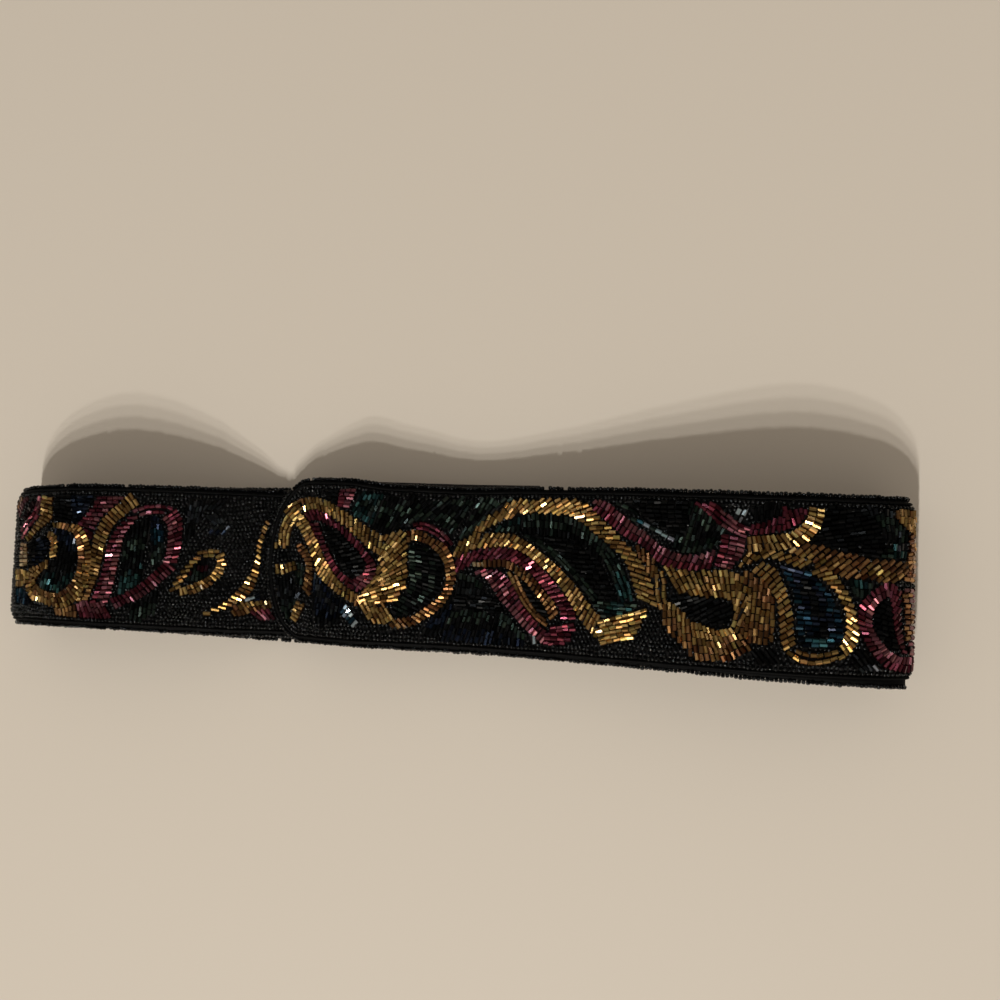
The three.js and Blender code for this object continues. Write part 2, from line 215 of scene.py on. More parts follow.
class Band:
    """The band's middle line and its edges, looked up by the distance s from the tongue's tip."""

    POINTS = 6000
    SMOOTHING = 30

    def __init__(self):
        folds = np.array(FOLDS)
        lift = folds[:, 1] * PLY_STEP + folds[:, 2] * RISE
        line = np.stack([folds[:, 0] * REACH, BAND_THICKNESS / 2 + lift], 1)
        self.line = catmull(line, self.POINTS)
        self.line[:, 1] = np.maximum(self.line[:, 1], BAND_THICKNESS / 2)
        self.s = run_along(self.line)
        self.end = self.s[-1]
        ahead = np.gradient(self.line, axis=0)
        window = np.ones(2 * self.SMOOTHING + 1) / (2 * self.SMOOTHING + 1)
        columns = [np.pad(ahead[:, k], self.SMOOTHING, mode="edge") for k in (0, 1)]
        self.ahead = unit(np.stack([np.convolve(column, window, "valid") for column in columns], 1))
        place = np.linspace(0, len(FOLDS) - 1, len(self.s))
        row = np.minimum(place.astype(int), len(FOLDS) - 2)
        k = place - row
        k = (k * k * (3 - 2 * k))[:, None]
        edges = folds[row, 3:] * (1 - k) + folds[row + 1, 3:] * k
        self.edges = edges * [FACE_WIDTH / 2, FACE_WIDTH / 2, FLANGE_WIDTH]

    def look_up(self, table, s):
        return np.stack([np.interp(s, self.s, table[:, k]) for k in range(table.shape[1])], -1)

    def directions(self, s):
        """Unit vectors along the band and out of its face."""
        a = unit(self.look_up(self.ahead, s))
        zero = np.zeros_like(a[..., 0])
        return np.stack([a[..., 0], zero, a[..., 1]], -1), np.stack([-a[..., 1], zero, a[..., 0]], -1)

    def point(self, s, y, level):
        """The place in metres at s and y, level out from the middle line. Before the tip it runs straight."""
        s = np.asarray(s, float)
        at = self.look_up(self.line, s)
        along, out = self.directions(s)
        p = np.stack([at[..., 0], np.broadcast_to(y, s.shape), at[..., 1]], -1)
        p = p + out * np.asarray(level)[..., None] + along * np.minimum(s, 0)[..., None]
        p[..., 1] += Y_SHIFT
        return p * MM

    def width_at(self, s, spare, flange_share):
        """The lower and upper edges of a ply that reaches spare beyond the face."""
        e = self.look_up(self.edges, s)
        beyond = np.maximum(TONGUE_DEPTH - np.asarray(s, float), 0) / (TONGUE_DEPTH + spare)
        k = np.sqrt(np.maximum(1 - beyond ** 2, 0))
        middle = (e[..., 0] + e[..., 1]) / 2
        half = (e[..., 0] - e[..., 1]) / 2 + spare
        return middle - half * k - e[..., 2] * flange_share * k, middle + half * k

    def on_face(self, at, margin):
        """Whether the place (s, y) is at least margin inside the face's edges."""
        if not 0 < at[0] < self.end:
            return False
        lower, upper = self.width_at(at[0], -margin, 0)
        return lower < at[1] < upper

    def rim(self, spare, flange_share, step):
        """Places (s, y) every step round the rim: in along the lower edge, round the tip, out along the
        upper edge."""
        angle = np.linspace(0, np.pi / 2, 60)
        s = TONGUE_DEPTH - (TONGUE_DEPTH + spare) * np.cos(angle)
        s = np.concatenate([s, np.arange(TONGUE_DEPTH + RIM_STEP, self.end, RIM_STEP)])
        lower, upper = self.width_at(s, spare, flange_share)
        path = np.concatenate([np.stack([s, lower], 1)[::-1], np.stack([s, upper], 1)[1:]])
        return resample(path, step)


def resample(path, step):
    """Places about step apart along a path, from its first to its last."""
    run = run_along(path)
    count = max(int(round(run[-1] / step)), 1)
    at = np.linspace(0, run[-1], count + 1)
    return np.stack([np.interp(at, run, path[:, k]) for k in range(path.shape[1])], 1)


band = Band()

# The part is moved across until its box is centred, so the face's middle isn't at Y = 0.
Y_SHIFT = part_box("closure_tail")[1][1] / MM - TAIL_UPPER


# The chart: the palette and then the fields of stitches

# Each colour: how it looks at its lightest and darkest bead, in linear RGB
PALETTE = {
    "gold": ((0.86, 0.56, 0.19), (0.16, 0.077, 0.020)),
    "bronze": ((0.62, 0.33, 0.12), (0.10, 0.036, 0.013)),
    "pale": ((0.90, 0.72, 0.45), (0.30, 0.18, 0.08)),
    "maroon": ((0.060, 0.010, 0.015), (0.015, 0.003, 0.005)),
    "magenta": ((0.25, 0.045, 0.065), (0.045, 0.005, 0.010)),
    "pink": ((0.42, 0.16, 0.18), (0.07, 0.012, 0.018)),
    "green": ((0.065, 0.095, 0.072), (0.001, 0.003, 0.002)),
    "teal": ((0.05, 0.14, 0.13), (0.001, 0.005, 0.006)),
    "blue": ((0.024, 0.085, 0.13), (0.001, 0.004, 0.008)),
    "navy": ((0.014, 0.022, 0.045), (0.002, 0.003, 0.006)),
    "slate": ((0.045, 0.050, 0.056), (0.005, 0.006, 0.006)),
    "sky": ((0.11, 0.33, 0.38), (0.02, 0.08, 0.11)),
    # glint: near-white beads that are a painted highlight, where beads catch the light
    "glint": ((0.90, 0.96, 1.0), (0.45, 0.60, 0.70)),
    "black": ((0.002, 0.002, 0.002), (0.0005, 0.0005, 0.0005)),
}

# A field is its colours and two rails, which share their way along. Its strings of bugles run from the
# first rail to the second, with the colours spread over each. After the word along, they run between the
# rails instead, with the colours spread over their length.
TIP_FIELDS = [
    ("along gold", [(0.6, 5.5), (0.4, 10), (1, 16), (3.6, 21), (7.6, 24.6), (12.3, 26.3)],
     [(7, 5.5), (6.8, 9.5), (7.6, 13.3), (9.9, 16.8), (12.2, 18.6), (14, 20.2)]),
    ("gold", [(0.8, -0.3), (4, -0.8), (7, 0), (10.5, 1.2)],
     [(1.6, -4.5), (4.6, -4.7), (8.5, -3.5), (11.5, -2.5)]),
]

FIELDS = [
    # Hooked paisley on the tongue
    ("gold", [(11.5, 25.6), (16, 26.6), (21, 26.4), (26, 25), (31, 23), (36, 20.3), (41, 17.3), (46, 14.5),
     (50.5, 11.8)],
     [(14, 20.5), (19, 21.8), (24, 20.6), (29, 18.8), (33.5, 16), (38, 12.5), (42, 9.3), (46, 6),
     (49.3, 4.8)]),
    ("gold", [(49.6, 9), (48.8, 4), (48.5, 0), (47.5, -4), (45, -7.5), (42, -10.5), (41, -13), (46.5, -14)],
     [(50.5, 12.3), (53.5, 13.5), (57.5, 15), (59.5, 11), (59.8, 7), (60, 3), (60.3, -1), (60, -5),
     (59, -8.5), (57, -12.8)]),
    ("magenta", [(13.5, 20.3), (19.5, 21.7), (24.5, 20.3), (29, 18.5), (33.5, 15.8), (38, 12.3), (41.5, 9),
     (45, 5.2)],
     [(17, 17), (22, 17.5), (26.5, 15.8), (30.5, 14.5), (34.5, 11.5), (38, 8.5), (41, 5.5), (43, 3)]),
    ("pink magenta", [(45, 5.2), (47.5, 2), (48.2, -1), (47.4, -4.2), (45, -7), (42, -9.3)],
     [(43, 3), (43.8, 0.5), (43.2, -2), (41.5, -3.8), (39.5, -4.8), (37, -5.2)]),
    ("gold", [(8, 17.5), (11.5, 14.2), (14.5, 10.3), (17.5, 6), (20, 1.5), (22.5, -3.5), (26.5, -7),
     (31.5, -10), (37, -13.2), (41.5, -16)],
     [(13.5, 19.5), (16.8, 16.5), (19.3, 13), (22.3, 9), (25.5, 4), (29, -1), (32.5, -5), (37, -8.5),
     (41.5, -10.8)]),
    ("magenta", [(16.5, 16.5), (19, 13.5), (22, 9.5), (25.5, 4.5), (29, -0.5), (32.5, -4.5), (37, -8.3),
     (41.5, -9.8)],
     [(22, 16.5), (24.5, 12), (27.5, 7), (30.5, 2.5), (33.5, -1.5), (37, -4.3), (40, -5), (42.5, -4.5)]),
    ("black", [(24.5, 15), (26, 11.5), (29, 6.5), (32, 2), (35, -1.5), (38.5, -4)],
     [(30.5, 15.5), (34.5, 11.3), (38, 8), (41, 4.8), (43, 1.5), (42.8, -1.5), (41, -3.8)]),
    # Round flower under the hook
    ("gold", [(40, -12.5), (42.5, -13), (45.5, -13.5), (48.5, -13.5), (51.5, -13)],
     [(45.5, -19.5), (48, -21.5), (50.5, -22.3), (53.5, -21.5), (56, -19.5)]),
    ("bronze", [(55, -23), (60, -22.8), (64, -21.5), (68.5, -18.8), (73.5, -15), (77, -10.5), (79, -5.5),
     (79.3, 0.5), (77.8, 5.5)],
     [(52.5, -19), (57, -19.3), (62, -18.3), (66.5, -15.5), (71, -12), (74, -8.5), (75.3, -4), (75.2, 0),
     (74, 3.5)]),
    ("bronze", [(77.8, 5.5), (75, 9.3), (70.5, 12), (65.5, 14.5), (61.5, 15), (57.5, 13.2)],
     [(74, 3.5), (71, 7), (67, 9.7), (62.5, 10.8), (60, 9.7), (58.8, 8.5)]),
    ("along magenta pink magenta", [(61.5, 17.6), (65, 18.4), (69, 17.7), (73, 15.4), (78, 10.3)],
     [(62, 14.5), (66, 14.6), (70, 12.9), (74, 10), (76.5, 7)]),
    ("green black green black", [(60.5, 9.5), (60.8, 5), (61.5, 0), (61.5, -5), (60, -9.5), (56, -13.5),
     (54, -17)],
     [(70, 8.3), (73.8, 3), (74.7, -3), (73.5, -8), (69.5, -12.3), (64, -16.3), (58, -18.5)]),
    # Ground over the hook and the flower
    ("black", [(24, 31), (25.5, 27), (27, 24.5)], [(31.3, 31), (31.3, 27), (31, 23.5)]),
    ("magenta pink", [(32, 30), (31.5, 27), (31, 23)], [(39, 30), (37.7, 26.5), (36.2, 22.5)]),
    ("teal green teal", [(42.5, 30.5), (46.5, 30.5), (50.5, 30)], [(36.5, 21), (40.5, 18.2), (45.5, 15.5)]),
    ("black green black", [(51.5, 30), (57, 29), (63, 28.5), (68, 28.5)],
     [(45.8, 15), (49, 12.7), (53, 13.4), (57.5, 15.5)]),
    ("green black green", [(69, 28.5), (75, 28.5), (81, 28.5), (87, 28.5)],
     [(58.5, 16.5), (64.5, 19), (71, 18), (77, 13)]),
    ("green black green", [(88, 28.5), (93, 28.5), (98, 28.5), (103, 28.5)],
     [(79.5, 11.5), (84.5, 14.5), (88.5, 18.5), (92.5, 23)]),
    # Ground under the hook
    ("bronze", [(12.5, 8.5), (16.5, 6), (19.5, 2), (20.3, -3), (20, -8), (19.2, -13.5)],
     [(10.5, 7.5), (12.5, 4.5), (15, 2), (16.3, -1), (16, -5.5), (15, -10)]),
    ("gold", [(17, -15.5), (14.5, -20), (12, -24)], [(12.5, -15), (10.5, -18.5), (9.5, -22)]),
    ("green", [(10.5, -0.5), (13, 0.3), (15.3, -1.5)], [(11.5, -8), (13.5, -8.5), (15.6, -8)]),
    ("black slate green", [(1.2, -6), (4, -6), (7.5, -5.2), (11, -9), (15, -9.5)],
     [(4.5, -22), (6.5, -24.5), (8.5, -25), (9.5, -19), (13, -15)]),
    ("navy slate navy black", [(21, 2.5), (24, -3.5), (28, -9), (32, -12), (36, -14)],
     [(20.8, -12), (22, -21.5), (26.5, -23.5), (31, -23.3), (34, -22)]),
    # Near-white glint beads here are a painted highlight
    ("glint glint blue", [(36.5, -14.5), (38.5, -17), (40.5, -19.5), (42, -21.5)],
     [(34, -17.5), (36, -20), (38, -22), (40, -24)]),
    # Arched paisley
    ("gold", [(80, 10.8), (84.5, 13.5), (87.5, 17.5), (91.5, 21), (96, 24.8), (101, 27.2), (106.5, 27.8),
     (113, 28.3), (119.5, 28.4), (126, 28.4), (129.5, 26.7)],
     [(77.3, 5), (80.5, 4.8), (83.5, 6.5), (86.5, 9.5), (89, 14), (92.5, 17), (97, 19.5), (101.5, 21.3),
     (107.5, 22.5), (114, 22.8), (120, 22.8)]),
    ("gold", [(129.5, 26.7), (134, 23), (138.5, 19.5), (143.5, 14.5), (148.5, 10), (152.8, 4.5), (155.5, -1),
     (157, -6), (158, -10)],
     [(120, 22.8), (125, 21.5), (130, 18.8), (134, 15.5), (139, 11.8), (143.5, 8.5), (146.5, 4), (148.3, -1),
     (149.5, -4.5), (150.5, -7)]),
    ("gold", [(136.5, -15.5), (136, -18), (136, -21), (138, -24.3)],
     [(155, -9.5), (153.5, -13), (152, -17), (149.5, -21.5)]),
    ("gold", [(88, 14), (92, 14.8), (97, 15), (102, 14.5), (107, 12.4)],
     [(84.5, 8), (88, 8.6), (92.5, 9.2), (97.5, 9.6), (103.5, 9)]),
    ("gold", [(107, 12.4), (112, 9), (117, 5.5)], [(103.5, 9), (108.5, 6.3), (113.5, 2.8)]),
    ("gold", [(117, 5.5), (121, 2.5), (125, -1), (128.5, -4.8), (131.5, -8.8), (134.5, -12), (138.5, -15)],
     [(113.5, 2.8), (117.5, -0.5), (121, -4.3), (124, -8.3), (127, -12.8), (130.5, -17.5), (135.5, -22.5)]),
    ("magenta", [(79.5, 4), (83.5, 6.8), (88, 8.4), (92.5, 9), (97, 9.5), (101, 9.3), (105, 8.2)],
     [(76.5, -0.5), (79.5, -0.8), (83, 1.2), (87, 4), (91.5, 4.6), (96, 5), (100.5, 4.5)]),
    ("magenta", [(105, 8.2), (109, 5.8), (113.5, 2.6), (118, -1.5)],
     [(100.5, 4.5), (104.5, 3.3), (109, 0.5), (113, -3.5)]),
    ("magenta", [(118, -1.5), (121.5, -5.5), (124.5, -9), (127, -12.5), (127.5, -16)],
     [(113, -3.5), (116.5, -7), (119.5, -10), (121.3, -13.5), (121.8, -16.5)]),
    ("magenta", [(118.5, -19), (116.5, -21), (115, -23.5), (115, -26)],
     [(127.3, -16.5), (127, -19.5), (126, -22.5), (123, -25.3)]),
    # Pale beads at the bronze ring's top: a painted highlight
    ("pale", [(85.5, 3.5), (90.5, 3.8)], [(86, 1.5), (91, 2)]),
    ("bronze", [(86, 3.8), (90, 4.4), (95, 5), (100, 4.6), (104.5, 3), (109, 0.3), (113, -3.7),
     (116.5, -7.2), (119.3, -10.5), (121, -14)],
     [(87, 0.8), (91, 1.4), (96, 1.8), (100, 1.5), (103.5, -0.5), (107, -3), (110.5, -6.5), (113.5, -10),
     (116, -13), (117.5, -17)]),
    ("along bronze", [(99.5, 0.5), (102, -3.5), (104.5, -8), (107.5, -12.5), (111.5, -16.5), (116, -19)],
     [(103.3, 0.3), (105.3, -3.5), (107.7, -7.5), (110.8, -11.5), (114.3, -15), (117.5, -17.5)]),
    ("black", [(103.5, 0), (105.5, -4), (108, -8), (111, -12), (114.5, -15.3)],
     [(107.5, -1.8), (110.5, -5), (113.5, -8.5), (116, -12.5), (117.3, -16.3)]),
    ("pink magenta", [(85.5, -0.5), (91, -2.2), (94, -6), (97, -10), (101, -13.7), (105, -18), (110, -22.3),
     (115, -25.6)],
     [(90, 1.2), (97, 0.5), (101.5, -3), (104, -7.5), (107, -12), (110.8, -16), (115, -19.5),
     (118.5, -20.5)]),
    ("teal green", [(95.5, 17.5), (100, 19.5), (105, 21.3)], [(93.5, 14.8), (99, 15.5), (104.5, 15)]),
    ("green green black", [(105, 21.5), (111, 22.6), (118, 22.6), (124, 21.4), (129.5, 18.8), (134, 15.3),
     (138.5, 11.8)],
     [(106, 14.8), (113, 14.5), (119, 14), (124.5, 13), (129, 11), (133, 8), (136, 4.5)]),
    ("along green teal", [(139, 11.5), (142.5, 7), (145.5, 2), (147.7, -3), (149, -8)],
     [(136, 8), (139.5, 2.5), (141.7, -3), (144, -8), (144.5, -8.8)]),
    ("along green", [(105.5, 14.2), (110, 12.3), (115, 8.8), (120, 4.8), (125, 0.5), (129.5, -4.5),
     (133.5, -9)],
     [(109, 14.3), (114.5, 12), (119.7, 8.3), (124.7, 4.3), (129.7, -0.2), (134, -5), (137.5, -8.3)]),
    ("green teal green", [(132, -8), (134.5, -11), (137.5, -14.6)],
     [(149.5, -8.8), (150.5, -11.5), (147.5, -14.8)]),
    ("black", [(109, 14.5), (114, 12), (119, 8.7), (124, 4.7), (129, 0.2), (133, -4.5), (137, -8)],
     [(127, 13.8), (131, 10.5), (135, 6.5), (138.5, 2), (141, -3), (143.5, -8)]),
    ("black slate black", [(85, -9), (85, -12), (85, -15)], [(96, -9.5), (97.5, -12.5), (98.5, -15.5)]),
    ("green black slate", [(80.5, -0.8), (85, -1.5), (89, -3.5), (92, -6)],
     [(80, -9), (84, -9), (88, -9), (91, -9)]),
    ("black green", [(79.5, -9), (79.5, -12), (79.5, -15)], [(94, -9), (97, -12), (99, -15)]),
    ("green black navy", [(78, -15), (84, -15), (90, -15), (96, -14), (100, -15.5), (104, -19.5),
     (108, -22.5)],
     [(74, -27), (80, -27), (87, -27), (94, -27), (99, -27), (104, -27), (108, -27)]),
    # Near-white glint beads here are a painted highlight
    ("glint", [(110.4, -22.4), (114, -22.8)], [(110.8, -26), (114.4, -26.2)]),
    ("black navy black", [(71, -17.8), (75.5, -13.5), (79.5, -6)], [(66, -24), (71, -26), (76, -27)]),
    # Crossing stems
    ("pink magenta", [(133, 28), (138.5, 27.3), (142, 24.3), (146, 21.3), (150, 18.3)],
     [(130.5, 25.5), (135, 22.5), (139.5, 19), (143.5, 15.7), (147.5, 13.5)]),
    ("pink magenta", [(150, 18.3), (153, 16.5), (156.5, 13.4), (161, 11), (165, 9.6), (169, 9.4), (173, 9.6),
     (178, 12)],
     [(147.5, 13.5), (151, 12), (154.5, 8.8), (158, 5.8), (162, 4.6), (166, 4), (171, 3.8), (176, 4.5)]),
    ("along green", [(141, 28), (146, 26.5), (151, 23.8)], [(141.5, 26), (145.5, 24), (149, 22)]),
    # The glint beads in this lane are a painted highlight
    ("along green sky glint green glint glint", [(147.5, 23), (152.5, 20.8), (157.5, 18.2), (163.5, 15.3)],
     [(146.8, 20.3), (151.8, 18.3), (157, 15.7), (162, 12.8)]),
    # The glint beads here are a painted highlight
    ("slate glint", [(182.5, 22), (186, 21)], [(184.8, 26), (188.3, 25)]),
    ("along magenta pink", [(173, 28.6), (177.5, 27.3), (182, 23.7), (186.5, 20.5), (190, 19.6)],
     [(169.5, 27.5), (174, 23.7), (178.7, 19.8), (183, 17.2), (187.5, 15.5)]),
    ("magenta", [(189, 20.6), (192.5, 21), (196, 22.4), (199.7, 24), (200.5, 28.3), (207.5, 28.5)],
     [(188, 16.8), (192.5, 17), (197, 17.7), (202, 19.5), (205.6, 21.8), (207.3, 25)]),
    ("magenta pink", [(179.5, 17.3), (179, 14.3), (179, 11.8), (178, 9.5), (177, 5.3)],
     [(188, 15.5), (187.3, 12), (186.5, 9.3), (184, 6.8), (183.5, 4.8)]),
    ("gold", [(188, 16.4), (193, 16.8), (198, 17.3), (202.5, 18.6), (206, 21.5), (207.8, 25), (207.8, 28.6)],
     [(188.3, 10.7), (193, 11.2), (198, 11.7), (203, 12.8), (208, 15.5), (211.8, 20), (213, 24),
     (213, 28.6)]),
    ("black", [(144, 28.4), (148, 26), (152, 22), (157, 19), (162, 16.3)],
     [(168, 28.4), (168, 25), (167.5, 21.5), (167, 18), (165.5, 15)]),
    ("green black green", [(164, 28), (169, 28), (173, 25.8), (177, 22.3), (181, 18)],
     [(161, 13.4), (165.5, 10.6), (169.5, 10.4), (173.5, 11.2), (178, 13)]),
    ("black", [(189.7, 28), (194, 28.3), (199, 28.3)], [(190, 21.3), (194, 22.3), (198.5, 23.7)]),
    # Fan round a black almond
    ("bronze", [(148.5, 12.8), (152, 10.8), (156.5, 7)], [(150.5, 5.5), (153, 3), (156, 0)]),
    ("along gold", [(155.5, 5), (156, -1), (156.5, -6), (158, -11)],
     [(159.5, 4), (161, -2), (160.6, -5.5), (162.5, -9)]),
    ("gold", [(158.5, 5.5), (162, 4.8), (166, 4), (170.5, 3.7), (175, 4), (179.5, 4.4), (184, 4.2)],
     [(164.8, -4.3), (169.3, -5), (173.3, -5.2), (176.6, -5.2), (179.8, -5.3), (182.5, -5.8),
     (184.8, -7.5)]),
    ("gold", [(184, 4.3), (186.5, 2.5), (188.6, -3), (189.2, -9)],
     [(184.8, -8.5), (184.5, -12.5), (184, -15.5), (185.5, -17.5)]),
    ("bronze gold bronze", [(187, 4.5), (190, 3.8), (193, 2.2), (195.5, -0.5), (197.5, -5)],
     [(186.5, -17), (188.6, -19), (192, -20.8), (195.3, -20), (197.8, -18)]),
    ("gold bronze", [(159, -5.5), (162.5, -7.5), (166, -10.5), (170, -13.2), (174.5, -15.3), (178.5, -16),
     (182.5, -15.5), (186, -13.8)],
     [(159.5, -15), (164, -20.5), (168.5, -24.3), (173, -26.8), (178, -27.3), (183.5, -26.3), (188.5, -23.3),
     (191.5, -20)]),
    ("black", [(161, -5.5), (165.5, -9), (170.5, -12.5), (177, -15)],
     [(168, -5.2), (178, -5.5), (184, -8), (185, -12.5)]),
    # Blue paisley with a gold edge
    ("gold", [(188, 10.5), (192, 12), (196, 12), (200.5, 11.3), (205, 10), (210, 9)],
     [(184.3, 5.3), (187.5, 6.3), (191, 8.4), (195.5, 9.3), (200, 8), (206, 5.8)]),
    ("gold", [(189.5, 4.3), (193, 2.3), (196, -1.5), (198.3, -6), (199, -12), (199.6, -18), (201, -22.3)],
     [(193, 8), (197.3, 6), (200.3, 1.5), (202, -4), (203.4, -9), (204, -15), (204.6, -19.8)]),
    ("along gold", [(201, -22.5), (206, -26), (213, -26.3), (221, -23.3)],
     [(204.5, -20.5), (208, -21.7), (213, -21.5), (218.8, -20)]),
    ("gold", [(221, -23), (223.8, -19.5), (225, -15), (224.3, -10), (222.8, -5), (220.3, 0), (217.3, 4),
     (213.5, 7.3)],
     [(218.8, -19.5), (220, -16.5), (220.8, -12), (220, -7), (217.8, -2.5), (215, 1), (211.8, 3.2),
     (208.5, 4.8)]),
    ("along navy sky teal sky navy", [(205, -17), (211, -17), (219.5, -16.8)],
     [(205.5, -20.3), (212, -20.3), (218.5, -19.5)]),
    ("blue navy black navy blue", [(197, 8), (199.8, 5), (201.8, 1.5), (203.2, -2.5), (204.2, -7),
     (204.9, -12), (205, -16.4)],
     [(207, 5.2), (212.5, 1.5), (216.5, -4.5), (219, -10), (220.3, -14), (219.5, -16.8)]),
    # Ground and stems at the right
    ("bronze gold bronze", [(205, 15), (210, 14.3), (215, 13), (220, 11.7), (225, 11), (230, 10.2),
     (235, 9.5), (240, 9), (246, 8.5)],
     [(199, 10), (203.5, 8.2), (208, 7), (212, 5.8), (216.3, 4.5), (220.5, 3.8), (225, 3), (230, 2.4),
     (237, 2.3)]),
    ("black", [(213.5, 27.8), (213, 23), (211.5, 18.5), (208.5, 15.6), (213, 14), (218, 12.8), (223, 11.8)],
     [(226, 28), (229, 24.5), (231, 21.5), (232.5, 18.5), (233.5, 16), (234, 13), (231, 10.5)]),
    ("slate green black", [(226.5, 28), (230, 28), (233.5, 27.8), (236, 27)],
     [(229.5, 20), (232, 18.5), (235, 17.5), (237, 17.5)]),
    ("gold", [(236.5, 27.3), (240, 27.5), (244, 27.3), (249, 27)],
     [(237.3, 24.3), (240.5, 21.5), (244, 19.5), (249, 17)]),
    ("green slate teal", [(236.5, 24), (239.5, 21), (242, 18.5)],
     [(236, 10.5), (238.5, 10.5), (241.5, 10.5)]),
    ("green", [(229, 13.8), (229.5, 11)], [(236, 13.8), (236, 10.8)]),
    ("teal green", [(220.8, 3.3), (225, 3), (229.5, 2)], [(222.8, -1.5), (225.5, -3), (228.5, -1.8)]),
    ("magenta pink", [(234.5, 3.2), (229, -0.5), (225.5, -4.5), (224.4, -10), (226, -16), (229.3, -21.5),
     (234, -26), (240, -27.6), (248, -27.6)],
     [(235.3, -2), (232, -4), (229.8, -7), (229.3, -11), (231, -15.5), (234, -19), (238, -21.7),
     (242.5, -22.5), (248, -22)]),
    ("magenta", [(235, 3), (239, 0), (239.5, -6), (240, -12), (241, -18), (243, -22)],
     [(235.3, -2), (236, -5), (236.3, -9), (237, -13.5), (238, -17.5), (240.5, -21)]),
    ("black", [(234, -3), (230.3, -6.5), (229.8, -10.5), (231.2, -15), (234, -18.7)],
     [(235.5, -4), (236, -7.5), (236.5, -11.5), (237.3, -15.5), (239.5, -20)]),
    ("bronze pink bronze", [(240, 1), (240.5, -6), (241, -12), (242, -17)],
     [(256, 1), (256, -6), (256, -12), (256, -17)]),
    ("pink magenta", [(243, -17.5), (243.5, -21.5)], [(256, -17.5), (256, -24)]),
    ("bronze gold", [(243, 20), (242.5, 15), (241.5, 9.5), (241, 3)],
     [(257, 25), (257, 17), (257, 9), (257, 2)]),
    ("black slate", [(221.5, -24), (225, -20.5), (228, -21.5)], [(226, -28), (230, -27), (233, -27)]),
    ("black", [(189, -22), (193, -22.5), (197, -21)], [(193, -27), (197, -27), (200.5, -26)]),
    # Left fold and the flower beside it
    ("along pink magenta pink", [(630, 4.5), (635, 10), (639.5, 14), (641, 19), (642.5, 25)],
     [(627.5, 9), (631.5, 13.5), (636, 17), (638.3, 21), (638.8, 25)]),
    ("maroon", [(629, 14), (632, 18), (636, 21.8)], [(631.8, 13), (635, 16.8), (637.8, 20)]),
    ("pink bronze", [(627, 14), (630, 19), (634, 23), (638.5, 25)],
     [(623, 19), (626, 23), (630, 25), (635, 26)]),
    ("gold", [(641.8, 25.3), (641.5, 20), (641, 15), (637.5, 10.8), (632, 6)],
     [(647.5, 25.3), (647.8, 19.5), (648, 14.5), (642, 10), (634, 4)]),
    ("gold", [(646.5, 9.3), (650.5, 8), (652, 3), (651.5, -1.5)],
     [(646, 6.8), (648, 4.5), (648, 0.5), (648, -2)]),
    ("pale", [(629.5, 4), (629.3, -1), (629.3, -6.5)], [(634, 3.5), (634.6, -1), (635, -5.5)]),
    ("black navy", [(634, 4), (635.5, -1), (636, -5.5)], [(646.5, 8.5), (647, 2), (645, -3), (641, -5.5)]),
    ("black", [(649, 26), (649, 20), (649.2, 14)], [(656.5, 26), (657.5, 20), (658, 12.5)]),
    ("navy", [(656.5, 26), (657.7, 20), (658.7, 12.5)], [(668, 26), (666, 20), (662.5, 14)]),
    ("gold bronze", [(648, 12.8), (656, 12.7), (662, 11.8), (666, 7), (668, 1), (668.3, -5), (666.5, -12),
     (663, -18), (658, -21.5), (651, -22), (645, -20.5), (639, -19.7)],
     [(649, 10.6), (655, 9.7), (659, 8.5), (661, 5), (662, 0), (662, -5), (660.5, -10), (657.5, -13.5),
     (653.5, -16), (648.5, -16), (644, -14.5), (641, -12.5)]),
    ("gold", [(639, -19.7), (635.3, -15.5), (634.3, -11), (636.5, -7.3), (642, -4.8), (647.5, -2)],
     [(642, -14.8), (640.7, -11.8), (642.5, -9.3), (646.5, -6.5)]),
    ("navy black black teal", [(649.5, 10.5), (653, 10), (657, 8.8), (660, 6), (661.5, 2)],
     [(643, -13.5), (648, -15.5), (653, -15.5), (657.5, -12.5), (660.5, -8)]),
    ("gold", [(626, -7.5), (630, -7), (634, -7.5)], [(627, -14.5), (631, -14.8), (634.5, -13)]),
    ("blue navy", [(627, -15.5), (633, -15.5), (637.5, -19)], [(627, -21), (633, -21.8), (638, -21.5)]),
    ("magenta pink", [(668.8, 26), (667, 20), (663, 14.5), (660.5, 12.2)],
     [(682, 26), (677.5, 21), (671.5, 15.5), (668.5, 10)]),
    ("magenta", [(663, 11), (666.5, 7), (668, 2.5)], [(668.3, 9.5), (667.8, 6), (667.5, 2)]),
    ("bronze", [(651.5, -22.2), (657, -21.8), (662, -20)], [(653, -25.2), (658, -25.5), (663, -25.5)]),
    ("pink magenta", [(662, -20), (666, -18.3), (670, -19.3), (674, -18)],
     [(664, -25.5), (669, -25.5), (674, -25.5), (678.5, -25)]),
    # Gold stem and the pink ring paisley
    ("gold", [(683, 26.3), (678, 21), (672.5, 15.7), (669.3, 9.5), (667.9, 3), (667.7, -3), (666.7, -9),
     (663.8, -15), (662, -19.3)],
     [(686.8, 21.3), (682, 17), (677.3, 12.5), (674.5, 7), (673.3, 1), (672.3, -5), (670.5, -11),
     (668.5, -16), (667, -18.5)]),
    ("magenta pink", [(683, 16.5), (678, 11), (675, 5.5), (674, -0.5), (673, -6.5), (671, -12.5),
     (669.2, -17.5), (668.5, -20)],
     [(688, 17), (685, 13.5), (682, 8.5), (680.5, 2), (679.5, -4), (678.5, -10), (677.5, -15), (676, -19)]),
    ("along pink magenta", [(684, 19), (689, 21.3), (696, 22), (701, 21)],
     [(687, 15.5), (690.5, 16.8), (695.5, 17.5), (699, 17)]),
